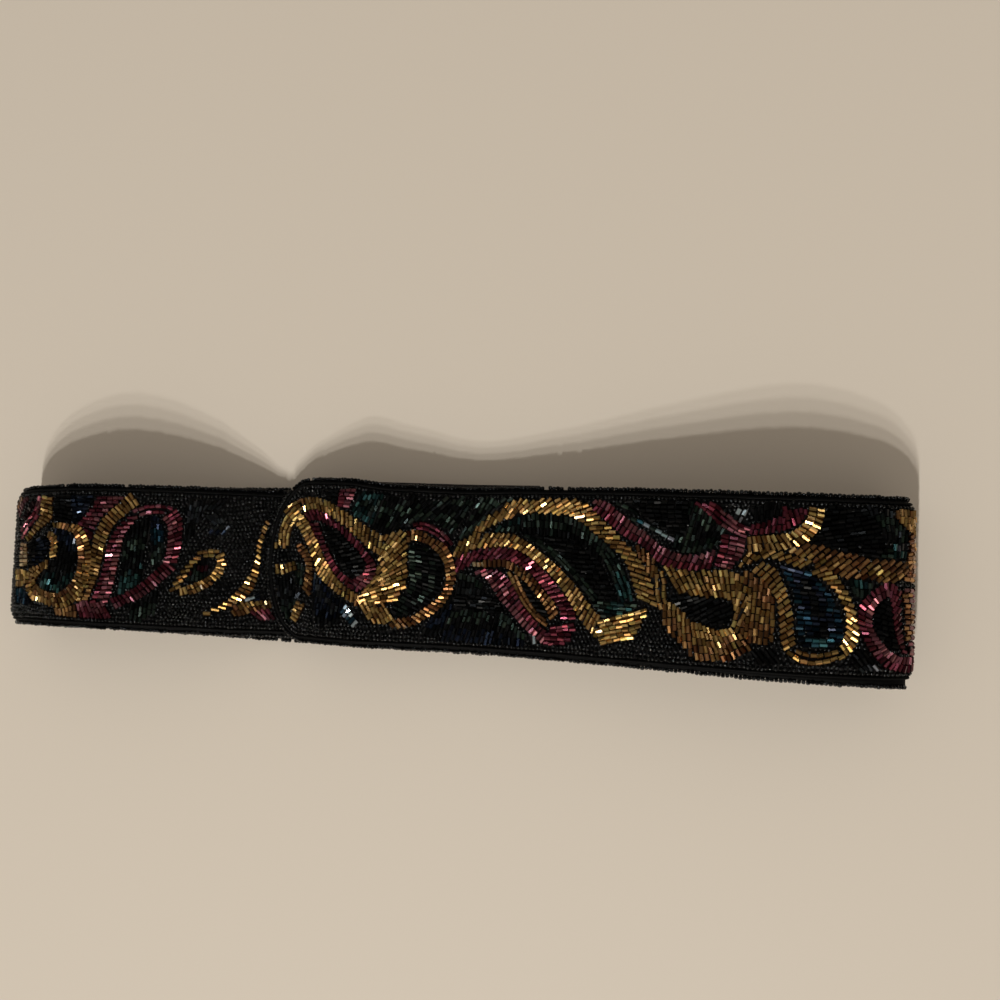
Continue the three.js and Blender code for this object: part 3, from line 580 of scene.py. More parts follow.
    ("pink magenta", [(696.8, 16), (699, 12.5), (699.3, 7.5), (699, 2.5), (698, -2)],
     [(702, 20.3), (704.5, 16.5), (705, 11), (705, 5), (703.5, -2)]),
    ("magenta pink", [(699, -1), (695, -5), (690, -10), (686, -13), (681, -15.5), (676.5, -17.5)],
     [(703.5, -4.5), (699, -8.5), (694, -13.5), (689, -17), (684, -19), (679.5, -21.5)]),
    ("black green black teal", [(682, 9), (687, 14.5), (691.5, 16.3)],
     [(680, -15.5), (684.5, -15), (689, -12)]),
    ("navy blue black green", [(691.5, 16.3), (694.5, 16.5), (697, 13)],
     [(693, -4), (696.5, -1), (698.6, 3)]),
    ("black green", [(686, -19.5), (691.5, -16.2), (697, -11.7)],
     [(685, -25.5), (690.5, -25.5), (696, -22)]),
    # Small gold drop
    ("gold", [(700.5, -14.5), (702.5, -10.5), (705, -6), (707.5, -2), (710.5, 1.5)],
     [(705, -12), (706.5, -8.5), (709, -4.5), (711.5, -1), (714, 1)]),
    ("along gold", [(710.5, 3), (715, 4.2), (720.5, 4.3)], [(713.5, 0.3), (716, 1), (719, 1)]),
    ("gold", [(722, 3.5), (723, -1), (722, -5.5), (719, -9)],
     [(718.5, 1.5), (719.3, -1), (718.3, -4), (716.5, -6.5)]),
    ("gold", [(720, -8.5), (716, -11.5), (711, -13.8), (705.5, -15)],
     [(716.5, -6.5), (713, -8.5), (709, -10.3), (705, -12)]),
    ("black maroon green", [(709, -3), (712.5, 0), (717, 0.5)], [(707.5, -9), (711, -9), (715.5, -7)]),
    ("slate black", [(707.5, 24), (710.5, 24), (713.5, 24)], [(705.8, 6), (708.3, 9), (710.5, 13)]),
    ("slate navy slate", [(713.8, 17.5), (716.3, 18.3), (719, 19)],
     [(717.5, 14), (719.7, 14.8), (722, 15.5)]),
    ("slate navy", [(717.5, 13.7), (721.3, 14), (725, 14)], [(714.5, 10.5), (718, 10.3), (722, 10.3)]),
    ("black slate", [(715, 24), (719, 24.3), (723, 24.3)], [(712, 20), (715.5, 20.2), (719, 20.3)]),
    # Thin gold leaf before the tongue
    ("gold", [(738, 17.3), (736.6, 13.5), (735.4, 9.5), (734.6, 4), (733.8, -1), (731.8, -6), (728.5, -11),
     (725.5, -14.5), (720.5, -18.5), (712.7, -23)],
     [(739.9, 16), (738.5, 12.5), (737.3, 9), (736.5, 4), (736.2, -1), (735.8, -6), (734, -11.5),
     (730, -15.8), (724.5, -19), (715.5, -22.4)]),
    ("gold bronze", [(722, -15.5), (727, -15.8), (732, -16.5), (737, -15.8), (742, -15.3)],
     [(727, -22.5), (731, -22), (735.5, -20.3), (739.5, -19.3), (743, -18.6)]),
    ("magenta pink", [(732.5, -20.5), (736.5, -19.3), (741, -18.8)],
     [(737.5, -23.5), (741, -23.6), (744, -23.3)]),
    # The glint beads in this lane are a painted highlight
    ("along blue glint navy", [(728.5, -16.2), (732, -14.8), (736.5, -12.5)],
     [(729.5, -18.2), (734.5, -17), (738.5, -15.5)]),
]

# The band's hidden stretch carries the chart again: how far along, the stretch of it, and 1 or -1 for
# upright or upside down.
REPEATS = [(214, 42, 200, 1), (372, 86, 238, -1)]


class Beading:
    """Places beads on the face, each where there is room, and keeps them by kind and colour."""

    CELL = 0.3
    SIDE = 40.0
    SPARE = 20.0

    def __init__(self):
        shape = (int((band.end + self.SPARE) / self.CELL), int(2 * self.SIDE / self.CELL))
        self.taken = np.zeros(shape, bool)
        self.beads = {}

    def place(self, kind, colour, s, y, angle, length, diameter, most=BUGLE_OVERLAP):
        """Places one bead if at most that share of its footprint is taken."""
        c, d = np.cos(angle), np.sin(angle)
        across = diameter * FOOTPRINT_WIDTH
        reach = (length + across) / 2
        low = np.floor((np.array([s, y + self.SIDE]) - reach) / self.CELL).astype(int)
        low = np.maximum(low, 0)
        count = int(2 * reach / self.CELL) + 2
        a = (np.arange(low[0], low[0] + count) + 0.5) * self.CELL - s
        b = (np.arange(low[1], low[1] + count) + 0.5) * self.CELL - self.SIDE - y
        a, b = a[:, None], b[None]
        inside = (np.abs(a * c + b * d) < length * FOOTPRINT_REACH) & (np.abs(b * c - a * d) < across / 2)
        window = self.taken[low[0]:low[0] + count, low[1]:low[1] + count]
        inside = inside[:window.shape[0], :window.shape[1]]
        if inside.any() and (window & inside).sum() <= most * inside.sum():
            window |= inside
            self.beads.setdefault((kind, colour), []).append((s, y, angle, length, diameter))

    def string(self, a, b, colours, colour_at=None):
        """Lays bugles end to end from a to b."""
        a, b = np.asarray(a, float), np.asarray(b, float)
        run = np.linalg.norm(b - a)
        count = max(int(round(run / BUGLE_STEP)), 1)
        length = min(run / count - BUGLE_GAP, LONGEST_BUGLE)
        if length < SHORTEST_BUGLE:
            return
        angle = np.arctan2(b[1] - a[1], b[0] - a[0])
        shift = rng.uniform(-STRING_SHIFT, STRING_SHIFT) if count > 3 else 0
        for i in range(count):
            share = (i + 0.5 + shift) / count
            at = a + (b - a) * share + rng.normal(0, BUGLE_SPREAD, 2)
            if not band.on_face(at, EDGE_MARGIN):
                continue
            colour = choose(colours, share if colour_at is None else colour_at)
            tilt = rng.normal(0, BUGLE_TILT)
            diameter = BUGLE_DIAMETER * rng.uniform(*BUGLE_DIAMETERS)
            self.place("bugle", colour, at[0], at[1], angle + tilt, length * rng.uniform(*BUGLE_LENGTHS),
                       diameter)

    def field(self, words, first, second):
        """Stitches one field of the chart between its two rails."""
        rails = [resample(catmull(r, RAIL_POINTS * len(r)), RAIL_STEP) for r in (first, second)]

        def at(rail, share):
            place = share * (len(rail) - 1)
            low = np.minimum(np.floor(place).astype(int), len(rail) - 2)
            return rail[low] + (rail[low + 1] - rail[low]) * (place - low)

        if words[0] != "along":
            for share in row_shares(rails):
                self.string(at(rails[0], share), at(rails[1], share), words)
            return
        lengths = [RAIL_STEP * (len(r) - 1) for r in rails]
        middle = [at(rails[0], k) - at(rails[1], k) for k in np.linspace(0.1, 0.9, 9)]
        lanes = max(int(round(np.mean([np.linalg.norm(m) for m in middle]) / ROW_PITCH)), 1)
        for lane in range(lanes):
            k = (lane + 0.5) / lanes
            length = lengths[0] * (1 - k) + lengths[1] * k
            count = max(int(round(length / BUGLE_STEP)), 1)
            stops = (np.arange(count + 1) + 0.5 * (lane % 2)) / count
            lane_points = [at(rails[0], t) * (1 - k) + at(rails[1], t) * k for t in stops if t <= 1]
            for i, (p, q) in enumerate(zip(lane_points, lane_points[1:])):
                self.string(p, q, words[1:], colour_at=(i + 0.5) / (len(lane_points) - 1))

    def seed_row(self, path, most=SEED_OVERLAP):
        """Seed beads one after another along a path of (s, y) places."""
        ahead = np.gradient(path, axis=0)
        for (s, y), (ds, dy) in zip(path, ahead):
            if 0 < s < band.end:
                size = rng.uniform(*SEED_SIZES)
                tilt = rng.normal(0, SEED_TILT)
                self.place("seed", "black", s + rng.normal(0, SEED_SPREAD), y + rng.normal(0, SEED_SPREAD),
                           np.arctan2(dy, ds) + tilt, SEED_LENGTH * size, SEED_DIAMETER * size, most)

    def fill(self):
        """Seeds wherever the face is still bare, in staggered rows that wander a little."""
        for i in range(int(FACE_WIDTH * FILL_REACH / SEED_PITCH)):
            s = np.arange(0.5, band.end, SEED_STEP) + 0.5 * (i % 2) * SEED_LENGTH
            y = -FACE_WIDTH * FILL_START + i * SEED_PITCH * FILL_NESTING
            for height, length, turn in SEED_WAVES:
                y = y + height * np.sin(s / length + i * turn)
            lower, upper = band.width_at(s, -EDGE_MARGIN, 0)
            keep = (y > lower) & (y < upper)
            if keep.sum() > 1:
                self.seed_row(np.stack([s, y], 1)[keep], FILL_OVERLAP)


def row_shares(rails):
    """Where along two rails the strings between them start, so that they lie ROW_PITCH apart."""
    grid = np.linspace(0, 1, 201)
    ends = [rail[np.round(grid * (len(rail) - 1)).astype(int)] for rail in rails]
    across = ends[1] - ends[0]
    across /= np.maximum(np.linalg.norm(across, axis=1, keepdims=True), 1e-6)
    steps = []
    for end in ends:
        step = np.diff(end, axis=0)
        steps.append(np.abs(step[:, 0] * across[1:, 1] - step[:, 1] * across[1:, 0]))
    run = np.concatenate([[0], np.cumsum(np.maximum(*steps))])
    rows = max(int(round(run[-1] / ROW_PITCH)), 1)
    return np.interp((np.arange(rows) + 0.5) / rows * run[-1], run, grid)


def choose(colours, share):
    """One of the colours spread over a string, now and then its neighbour's."""
    place = share * len(colours) - 0.5 + rng.normal(0, COLOUR_SPREAD)
    return colours[int(np.clip(round(place), 0, len(colours) - 1))]


def chart_beads():
    """All the beads of the face: the tip, the outer seed row, the chart, the inner row, and the rest."""
    beading = Beading()
    for words, first, second in TIP_FIELDS:
        beading.field(words.split(), first, second)
    beading.seed_row(band.rim(-OUTER_ROW, 0, SEED_STEP))
    for words, first, second in FIELDS:
        beading.field(words.split(), first, second)
    beading.seed_row(band.rim(-INNER_ROW, 0, SEED_STEP))
    for shift, low, high, way in REPEATS:
        for words, first, second in FIELDS:
            if low < np.mean([p[0] for p in first]) < high:
                moved = [[(s + shift, y * way) for s, y in rail] for rail in (first, second)]
                beading.field(words.split(), *moved)
    beading.fill()
    return beading.beads


# Painted shade: how a bead's colour is scaled to a darker red brown at its ends and on its lower sides
PAINTED_SHADE_TINT = (0.30, 0.13, 0.10)

# The painted shade gives way to a bead's own colour a little below its middle, full after this rise, in
# shares of its radius. A ring narrower than END_RADIUS belongs to the bead's end and is painted fully in
# shade.
PAINTED_SHADE_START = 0.05
PAINTED_SHADE_RISE = 0.9
END_RADIUS = 0.5

# Beta distributions, from 0 to 1: how matt the beads of each kind are, and how light their colours
DULL = {"bugle": (1.0, 1.3), "seed": (1.0, 1.0)}
LIGHTNESS = (1.2, 2.2)
HUE_SPREAD = 0.05

# How unevenly the beads are sewn: their height in millimetres, their tilt in radians, and how far round
# their own axis they lie
HEIGHT_SPREAD = 0.06
RISE_SPREAD = 0.08
ROLL = np.pi / 3

# Bead shapes: rings round local X, from one end to the other, as (share of half length, radius), how many
# sides they have and whether they are smooth. The bugles are cut with six flat sides.
BEAD_SHAPES = {
    "bugle": ([(-1, 0.45), (-1, 1), (1, 1), (1, 0.45)], 6, False),
    "seed": ([(-1, 0.4), (-0.86, 0.78), (0, 1), (0.86, 0.78), (1, 0.4)], 6, True),
}


def bead_template(rings, sides):
    """One bead's points and faces."""
    verts = []
    for x, r in rings:
        for k in range(sides):
            a = 2 * np.pi * (k + 0.5) / sides
            verts.append((x, r * np.sin(a), r * np.cos(a)))
    return np.array(verts), np.array(tube_faces(len(rings), sides))


def new_object(name, mesh):
    obj = bpy.data.objects.new(name, mesh)
    bpy.context.scene.collection.objects.link(obj)
    return obj


def instance_mesh(name, kind, centres, axes, outs, halves, radii, tints, dull):
    """One mesh of many beads. axes holds each bead's own X, Y and Z directions; outs the way out of the
    face; tints its colour, which painted shade darkens to a red brown at its ends and lower sides;
    dull how matt it is."""
    rings, sides, smooth = BEAD_SHAPES[kind]
    verts, faces = bead_template(rings, sides)
    count, size = len(centres), len(verts)
    scale = np.stack([halves, radii, radii], 1)
    turned = np.einsum("nvk,nkc->nvc", verts[None] * scale[:, None], axes)
    points = centres[:, None] + turned
    loops = (faces[None] + (np.arange(count) * size)[:, None, None]).reshape(-1)
    mesh = bpy.data.meshes.new(name)
    mesh.vertices.add(count * size)
    mesh.vertices.foreach_set("co", points.reshape(-1))
    mesh.loops.add(len(loops))
    mesh.loops.foreach_set("vertex_index", loops.astype(np.int32))
    mesh.polygons.add(len(loops) // 4)
    mesh.polygons.foreach_set("loop_start", np.arange(0, len(loops), 4, dtype=np.int32))
    mesh.update(calc_edges=True)
    mesh.validate()
    mesh.polygons.foreach_set("use_smooth", np.full(len(loops) // 4, smooth))
    colour = mesh.color_attributes.new("Col", "FLOAT_COLOR", "POINT")
    # Painted shade: on each bead's lower side and at its ends the colour falls towards PAINTED_SHADE_TINT
    lift = np.einsum("nvc,nc->nv", turned, outs) / radii[:, None]
    on_side = np.hypot(verts[:, 1], verts[:, 2]) > END_RADIUS
    unshaded = np.clip((lift + PAINTED_SHADE_START) / PAINTED_SHADE_RISE, 0, 1) * on_side
    rgba = np.ones((count, size, 4))
    rgba[..., :3] = tints[:, None] * (np.array(PAINTED_SHADE_TINT) * (1 - unshaded[..., None]) + unshaded[..., None])
    rgba[..., 3] = dull[:, None]
    colour.data.foreach_set("color", rgba.reshape(-1))
    return new_object(name, mesh)


def edge_drop(s, y):
    """How far the face falls away near its edges."""
    lower, upper = band.width_at(s, 0, 0)
    inset = np.clip(np.minimum(y - lower, upper - y), 0, FACE_FLAT)
    return EDGE_DROP * (1 - inset / FACE_FLAT) ** 2


def face_axes(s, angle, tilt, roll):
    """Each bead's own axes: X along the bead, Z out of the face, turned a little by tilt and roll."""
    along, out = band.directions(s)
    across = np.zeros_like(along)
    across[:, 1] = 1
    c, d = np.cos(angle)[:, None], np.sin(angle)[:, None]
    x = unit(along * c + across * d + out * tilt[:, None])
    side = unit(np.cross(out, x))
    up = np.cross(x, side)
    c, d = np.cos(roll)[:, None], np.sin(roll)[:, None]
    return np.stack([x, side * c + up * d, up * c - side * d], 1)


def tints_of(colour, count):
    """A colour for each bead, between the palette's lightest and darkest, and a little warmer or cooler."""
    light, dark = (np.array(v) for v in PALETTE[colour])
    k = rng.beta(*LIGHTNESS, count)[:, None]
    warm = rng.normal(0, HUE_SPREAD, (count, 3))
    return np.clip((light * k + dark * (1 - k)) * (1 + warm), 0, 1)


def bead_object(name, kind, colours, beads):
    """Joins the beads of several colours of one kind into one mesh."""
    rows, tints = [], []
    for colour in colours:
        some = np.array(beads.get((kind, colour), np.zeros((0, 5))))
        rows.append(some)
        tints.append(tints_of(colour, len(some)))
    s, y, angle, length, diameter = np.concatenate(rows).T
    count = len(s)
    rest = BAND_THICKNESS / 2 - BUGLE_DIAMETER / 2
    level = rest - edge_drop(s, y) + rng.normal(0, HEIGHT_SPREAD, count)
    axes = face_axes(s, angle, rng.normal(0, RISE_SPREAD, count), rng.uniform(0, ROLL, count))
    outs = band.directions(s)[1]
    return instance_mesh(name, kind, band.point(s, y, level), axes, outs, length / 2 * MM,
                         diameter / 2 * MM, np.concatenate(tints), rng.beta(*DULL[kind], count))


# Materials

def set_inputs(node, values):
    for socket, value in values.items():
        node.inputs[socket.replace("_", " ")].default_value = value


def new_material(name, **values):
    """A material whose shader has these values, with its node tree and its shader."""
    material = bpy.data.materials.new(name)
    material.use_nodes = True
    shader = material.node_tree.nodes["Principled BSDF"]
    set_inputs(shader, values)
    return material, material.node_tree, shader


def add_node(tree, kind, **values):
    node = tree.nodes.new("ShaderNode" + kind)
    set_inputs(node, values)
    return node


def add_ramp(tree, source, low, high, start=0.0, stop=1.0):
    """The colour from low to high while the source goes from start to stop."""
    ramp = add_node(tree, "ValToRGB")
    for element, position, colour in zip(ramp.color_ramp.elements, (start, stop), (low, high)):
        element.position = position
        element.color = (*colour, 1)
    tree.links.new(source, ramp.inputs["Fac"])
    return ramp.outputs["Color"]


def add_bump(tree, shader, height, strength, distance):
    bump = add_node(tree, "Bump", Strength=strength, Distance=distance)
    tree.links.new(height, bump.inputs["Height"])
    tree.links.new(bump.outputs["Normal"], shader.inputs["Normal"])


def scaled(colour, share):
    return [c * share for c in colour]


def bead_material(name, metallic, glossy, matt, coat, specular):
    """Glass beads, each with its own colour and its own roughness between glossy and matt."""
    material, tree, shader = new_material(name, Metallic=metallic, Coat_Weight=coat, Coat_Roughness=0.08,
                                          Specular_IOR_Level=specular)
    colour = add_node(tree, "VertexColor")
    colour.layer_name = "Col"
    roughness = add_node(tree, "MapRange", To_Min=glossy, To_Max=matt)
    tree.links.new(colour.outputs["Color"], shader.inputs["Base Color"])
    tree.links.new(colour.outputs["Alpha"], roughness.inputs["Value"])
    tree.links.new(roughness.outputs["Result"], shader.inputs["Roughness"])
    return material


def cloth_material(name, colour, roughness, weave, strength):
    """Woven cloth: two crossed wave textures set its threads."""
    material, tree, shader = new_material(name, Roughness=roughness, Specular_IOR_Level=0.2)
    place = add_node(tree, "TexCoord")
    both = add_node(tree, "Math")
    both.operation = "MULTIPLY"
    for slot, direction in enumerate(("X", "Y")):
        wave = add_node(tree, "TexWave", Scale=weave, Distortion=0.6, Detail=1.0)
        wave.bands_direction = direction
        tree.links.new(place.outputs["Object"], wave.inputs["Vector"])
        tree.links.new(wave.outputs["Fac"], both.inputs[slot])
    threads = add_ramp(tree, both.outputs[0], scaled(colour, 0.5), scaled(colour, 1.5))
    tree.links.new(threads, shader.inputs["Base Color"])
    add_bump(tree, shader, both.outputs[0], strength, distance=0.0002)
    return material


def satin_material(name, colour):
    """Satin: cloudy colour and fine ribs."""
    material, tree, shader = new_material(name, Roughness=0.6, Specular_IOR_Level=0.04)
    place = add_node(tree, "TexCoord")
    noise = add_node(tree, "TexNoise", Scale=260, Detail=4)
    tree.links.new(place.outputs["Object"], noise.inputs["Vector"])
    clouds = add_ramp(tree, noise.outputs["Fac"], scaled(colour, 0.6), scaled(colour, 1.5))
    tree.links.new(clouds, shader.inputs["Base Color"])
    wave = add_node(tree, "TexWave", Scale=900)
    wave.bands_direction = "Y"
    tree.links.new(place.outputs["Object"], wave.inputs["Vector"])
    add_bump(tree, shader, wave.outputs["Fac"], strength=0.25, distance=0.00008)
    return material


def dress(obj, material, slot, *nodes):
    """Gives a piece its material and body, and hides the CAD nodes that it stands for. slot is not used."""
    obj.data.materials.clear()
    obj.data.materials.append(material)
    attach(obj, "root")
    if nodes:
        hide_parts(*nodes)


# Cloth pieces

def grid_mesh(name, points):
    """A closed tube through a grid of points (rows round it, columns, 3), capped at both ends."""
    rows, columns = points.shape[:2]
    faces = tube_faces(rows, columns)
    faces.append(tuple(range(columns))[::-1])
    faces.append(tuple((rows - 1) * columns + k for k in range(columns)))
    mesh = bpy.data.meshes.new(name)
    mesh.from_pydata(points.reshape(-1, 3).tolist(), [], faces)
    mesh.update()
    mesh.shade_smooth()
    return new_object(name, mesh)


def ply(name, spare, flange_share, bottom, top, drop=False):
    """A ply of the band as a closed loft. Its upper side falls away at the edges if drop is set."""
    # The first row is 6 degrees round the tip, where it has some width
    angle = np.linspace(np.radians(6), np.pi / 2, 16)
    s = TONGUE_DEPTH - (TONGUE_DEPTH + spare) * np.cos(angle)
    s = np.concatenate([s, np.arange(TONGUE_DEPTH + LOFT_STEP, band.end, LOFT_STEP), [band.end]])
    lower, upper = band.width_at(s, spare, flange_share)
    shares = np.array([0, 0.02, 0.06, 0.2, 0.5, 0.8, 0.94, 0.98, 1.0])
    y = lower[:, None] + (upper - lower)[:, None] * shares
    sag = edge_drop(s[:, None], y) if drop else 0
    grid_s = np.broadcast_to(s[:, None], y.shape)
    over = band.point(grid_s, y, np.full(y.shape, float(top)) - sag)
    under = band.point(grid_s, y, np.full(y.shape, float(bottom)))
    return grid_mesh(name, np.concatenate([over, under[:, ::-1]], 1)[:, ::-1])


def swept(name, path, level, radius, sides, wobble):
    """A round cord along places (s, y) of the rim, at a level from the middle line."""
    s, y = path.T
    centre = band.point(s, y, np.full(len(s), float(level)) + rng.normal(0, 1, len(s)) * wobble)
    ahead = unit(np.gradient(centre, axis=0))
    out = band.directions(s)[1]
    side = unit(np.cross(out, ahead))
    angle = np.arange(sides) * 2 * np.pi / sides
    ring = centre[:, None] + radius * MM * (
        side[:, None] * np.cos(angle)[None, :, None] + out[:, None] * np.sin(angle)[None, :, None])
    return grid_mesh(name, ring)


# The belt's pieces

# Each finish of glass: metallic, roughness of the glossiest and the most matt bead, coat, specular level
GLASS = {
    "gold_glass": (0.88, 0.14, 0.45, 0.1, 0.5),
    "magenta_glass": (0.85, 0.14, 0.45, 0.15, 0.5),
    "iris_glass": (0.85, 0.12, 0.45, 0.1, 0.5),
    "black_glass": (0.0, 0.2, 0.6, 0.0, 0.05),
    "seed_glass": (0.0, 0.05, 0.35, 0.0, 0.28),
}

# The pieces of bugle beads: name, finish and colours
BUGLE_PIECES = [
    ("beads_gold", "gold_glass", ("gold",)),
    ("beads_bronze", "gold_glass", ("bronze", "pale")),
    ("beads_magenta", "magenta_glass", ("magenta", "pink", "maroon")),
    ("beads_cool", "iris_glass", ("green", "teal", "blue", "navy", "slate", "sky", "glint")),
    ("beads_black", "black_glass", ("black",)),
]


def make_bugles(beads, glass):
    for name, finish, colours in BUGLE_PIECES:
        dress(bead_object(name, "bugle", colours, beads), glass[finish], "beadwork")


def make_seeds(beads, glass):
    """The face's seed beads, in two pieces of like size."""
    kind = ("seed", "black")
    half = len(beads[kind]) // 2
    for name, some in (("seeds_a", beads[kind][:half]), ("seeds_b", beads[kind][half:])):
        dress(bead_object(name, "seed", ("black",), {kind: some}), glass["seed_glass"], "beadwork")


def make_backing():
    top = BAND_THICKNESS / 2 - BUGLE_DIAMETER * BEAD_SINK
    backing = ply("backing", 0, 0, BAND_THICKNESS / 2 - FACE_THICKNESS, top, True)
    cloth = cloth_material("backing_cloth", (0.003, 0.002, 0.002), roughness=0.9, weave=900, strength=0.5)
    dress(backing, cloth, "beadwork", "beaded_band")


def make_lining():
    lining = ply("lining_sheet", LINING_REACH + LINING_EDGE, 1, -BAND_THICKNESS / 2,
                 LINING_THICKNESS - BAND_THICKNESS / 2)
    dress(lining, satin_material("lining_satin", (0.0015, 0.0015, 0.0015)), "lining_satin", "lining")


def make_piping():
    level = -BAND_THICKNESS / 2 + LINING_THICKNESS + CLEARANCE + PIPING_RADIUS
    path = band.rim(CLEARANCE + PIPING_WIDTH / 2, 0, PIPING_STEP)
    piping = swept("piping", path, level, PIPING_RADIUS, sides=8, wobble=0.02)
    dress(piping, satin_material("piping_satin", (0.002, 0.002, 0.002)), "piping", "edge_piping")


def make_edge_beads(glass):
    """The string of single seeds outside the lining's edge, with a bead left out here and there."""
    radius = EDGE_BEAD / 2
    path = band.rim(LINING_REACH + CLEARANCE + radius, 1, EDGE_PITCH)
    ahead = np.gradient(path, axis=0)
    keep = rng.uniform(0, 1, len(path)) > EDGE_LEFT_OUT
    s, y = path[keep].T
    count = len(s)
    level = (LINING_THICKNESS - BAND_THICKNESS) / 2 + rng.normal(0, EDGE_SPREAD, count)
    angle = np.arctan2(ahead[keep, 1], ahead[keep, 0]) + rng.normal(0, EDGE_TURN, count)
    y = y + rng.normal(0, EDGE_SPREAD, count)
    axes = face_axes(s, angle, rng.normal(0, EDGE_TILT, count), rng.uniform(0, 1, count))
    size = rng.uniform(*EDGE_SIZES, count)
    outs = band.directions(s)[1]
    beads = instance_mesh("edge_beads", "seed", band.point(s, y, level), axes, outs,
                          EDGE_HALF_LENGTH * size * MM, radius * size * MM, tints_of("black", count),
                          rng.beta(*DULL["seed"], count))
    dress(beads, glass["seed_glass"], "edge_beads", "edge_bead_row")


def tongue_at(x):
    """The distance from the tip to where the tongue's run reaches x."""
    return band.s[np.argmax(band.line[:, 0] >= x)]


def make_tail(cloth):
    """The plain tail, from the tucked end to its square end under the tongue's run."""
    end = band.look_up(band.line, band.end)
    ahead = band.look_up(band.ahead, band.end)
    root = end + ahead * CLEARANCE
    start = tongue_at(root[0])
    below = BAND_THICKNESS / 2 + CLEARANCE + PATCH_THICKNESS + CLEARANCE + TAIL_THICKNESS / 2
    s = np.linspace(start + TAIL_SETTLE, start + TAIL_LENGTH, 60)
    out = band.directions(s)[1]
    centre = band.point(s, np.zeros(len(s)), np.full(len(s), -below))
    first = np.array([[root[0], Y_SHIFT, root[1]]]) * MM
    centre = np.concatenate([first, centre])
    out = np.concatenate([[[-ahead[1], 0, ahead[0]]], out])
    upper = np.concatenate([[band.look_up(band.edges, band.end)[0]], np.full(len(s), TAIL_UPPER)])
    # The columns of points across the tail, which is thinner at its two edges
    shares = np.array([0, 0.02, 0.25, 0.5, 0.75, 0.98, 1])
    y = TAIL_LOWER + (upper - TAIL_LOWER)[:, None] * shares
    half = TAIL_THICKNESS / 2 * np.array([0.55, 1, 1, 1, 1, 1, 0.55])
    over = centre[:, None] + out[:, None] * half[None, :, None] * MM
    under = centre[:, None] - out[:, None] * half[None, :, None] * MM
    over[..., 1] += y * MM
    under[..., 1] += y * MM
    tail = grid_mesh("tail", np.concatenate([over, under[:, ::-1]], 1)[:, ::-1])
    dress(tail, cloth, "tail_cloth", "closure_tail")


def dress_patch(cloth):
    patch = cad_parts["closure_patch"]
    patch.data.materials.clear()
    patch.data.materials.append(cloth)


def make_belt():
    beads = chart_beads()
    glass = {name: bead_material(name, *values) for name, values in GLASS.items()}
    tail_cloth = cloth_material("tail_cloth", (0.016, 0.014, 0.015), roughness=0.8, weave=700, strength=0.6)
    make_bugles(beads, glass)
    make_seeds(beads, glass)
    make_backing()
    make_lining()
    make_piping()
    make_edge_beads(glass)
    make_tail(tail_cloth)
    dress_patch(tail_cloth)


# The floor, the light and the camera

FLOOR_COLOUR = (0.585, 0.545, 0.49, 1)
LAMP_COLOUR = (1, 0.95, 0.87)
GLINT_COLOUR = (0.88, 0.95, 1)
LAMP_SIZE = 0.13
GLINT_SIZE = 0.08
LAMP_HEIGHT = 2.5
LAMP_SIDE = -0.3

# Four lamps of one ceiling fitting, each as (distance in front as a share of its height, power): the
# shadow has a step for each
LAMPS = ((1.62, 44), (1.42, 40), (1.22, 36), (1.0, 34))

# Small cool lights that only glint on the beads, each as (place, power)
GLINTS = (((-1.1, 0.5, 1.3), 4), ((1.0, 0.7, 1.5), 4), ((-0.3, -0.4, 1.7), 2.5))

# The photograph's view, nearly overhead and nearer to the right end: place in metres, turn in degrees
CAMERA_PLACE = (0.12915, 0.0077, 0.380)
CAMERA_TURN = (3.54489, 14.41327, 2.29941)


def make_floor():
    bpy.ops.mesh.primitive_plane_add(size=4, location=(0, 0, 0))
    floor = bpy.context.object
    floor.name = "floor"
    floor.data.materials.append(new_material("floor_surface", Roughness=0.7, Base_Color=FLOOR_COLOUR)[0])


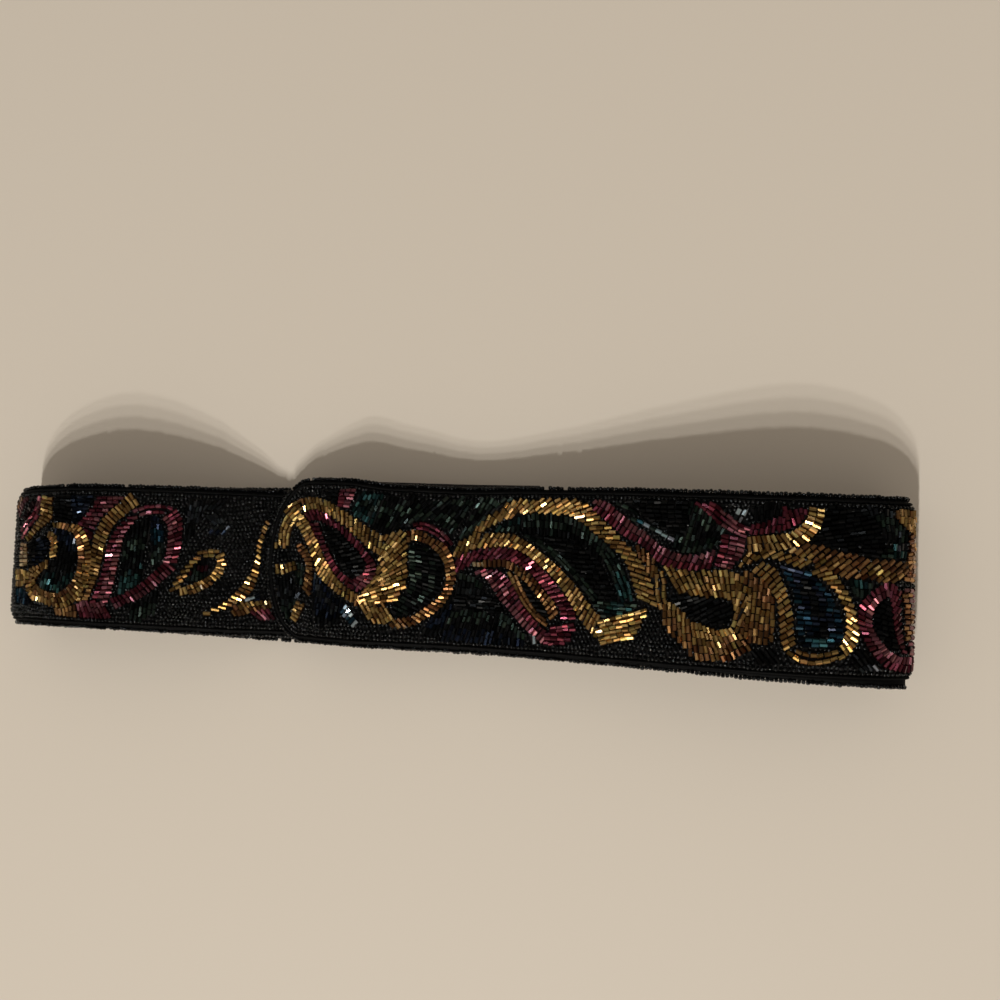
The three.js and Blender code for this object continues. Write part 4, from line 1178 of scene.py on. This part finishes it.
def area_light(name, place, size, power, colour):
    """A round lamp that shines on the belt's middle."""
    data = bpy.data.lights.new(name, "AREA")
    data.shape = "DISK"
    data.size = size
    data.energy = power
    data.color = colour
    light = new_object(name, data)
    turn = (-Vector(place)).to_track_quat("-Z", "Y")
    light.matrix_world = Matrix.Translation(place) @ turn.to_matrix().to_4x4()
    return light


def make_world():
    """The room's soft light, warm from below, and a darker one that the beads mirror."""
    world = bpy.data.worlds.new("room")
    world.use_nodes = True
    tree = world.node_tree
    lit = tree.nodes["Background"]
    place = add_node(tree, "TexCoord")
    parts = add_node(tree, "SeparateXYZ")
    tree.links.new(place.outputs["Generated"], parts.inputs[0])
    height = parts.outputs["Z"]
    room = add_ramp(tree, height, (0.88, 0.76, 0.62), (0.07, 0.06, 0.05), start=0.35, stop=0.95)
    tree.links.new(room, lit.inputs["Color"])
    mirrored = add_node(tree, "Background")
    gleam = add_ramp(tree, height, (0.09, 0.095, 0.09), (0.008, 0.009, 0.009), start=0.3, stop=0.9)
    tree.links.new(gleam, mirrored.inputs["Color"])
    ray = add_node(tree, "LightPath")
    either = add_node(tree, "MixShader")
    tree.links.new(ray.outputs["Is Glossy Ray"], either.inputs["Fac"])
    tree.links.new(lit.outputs["Background"], either.inputs[1])
    tree.links.new(mirrored.outputs["Background"], either.inputs[2])
    tree.links.new(either.outputs["Shader"], tree.nodes["World Output"].inputs["Surface"])
    bpy.context.scene.world = world


def make_lamps():
    for fall, power in LAMPS:
        area_light("lamp", (LAMP_SIDE, -LAMP_HEIGHT * fall, LAMP_HEIGHT), LAMP_SIZE, power, LAMP_COLOUR)
    for place, power in GLINTS:
        glint = area_light("glint", place, GLINT_SIZE, power, GLINT_COLOUR)
        glint.visible_diffuse = False
    bpy.context.scene.view_settings.view_transform = "Standard"


def make_camera():
    data = bpy.data.cameras.new("camera")
    data.sensor_width = 36
    data.lens = 36
    data.clip_start = 0.01
    camera = new_object("camera", data)
    place = Vector(CAMERA_PLACE) + Vector((0, Y_SHIFT * MM, 0))
    turn = Euler(np.radians(CAMERA_TURN))
    camera.matrix_world = Matrix.Translation(place) @ turn.to_matrix().to_4x4()
    bpy.context.scene.camera = camera


make_belt()
make_floor()
make_world()
make_lamps()
make_camera()
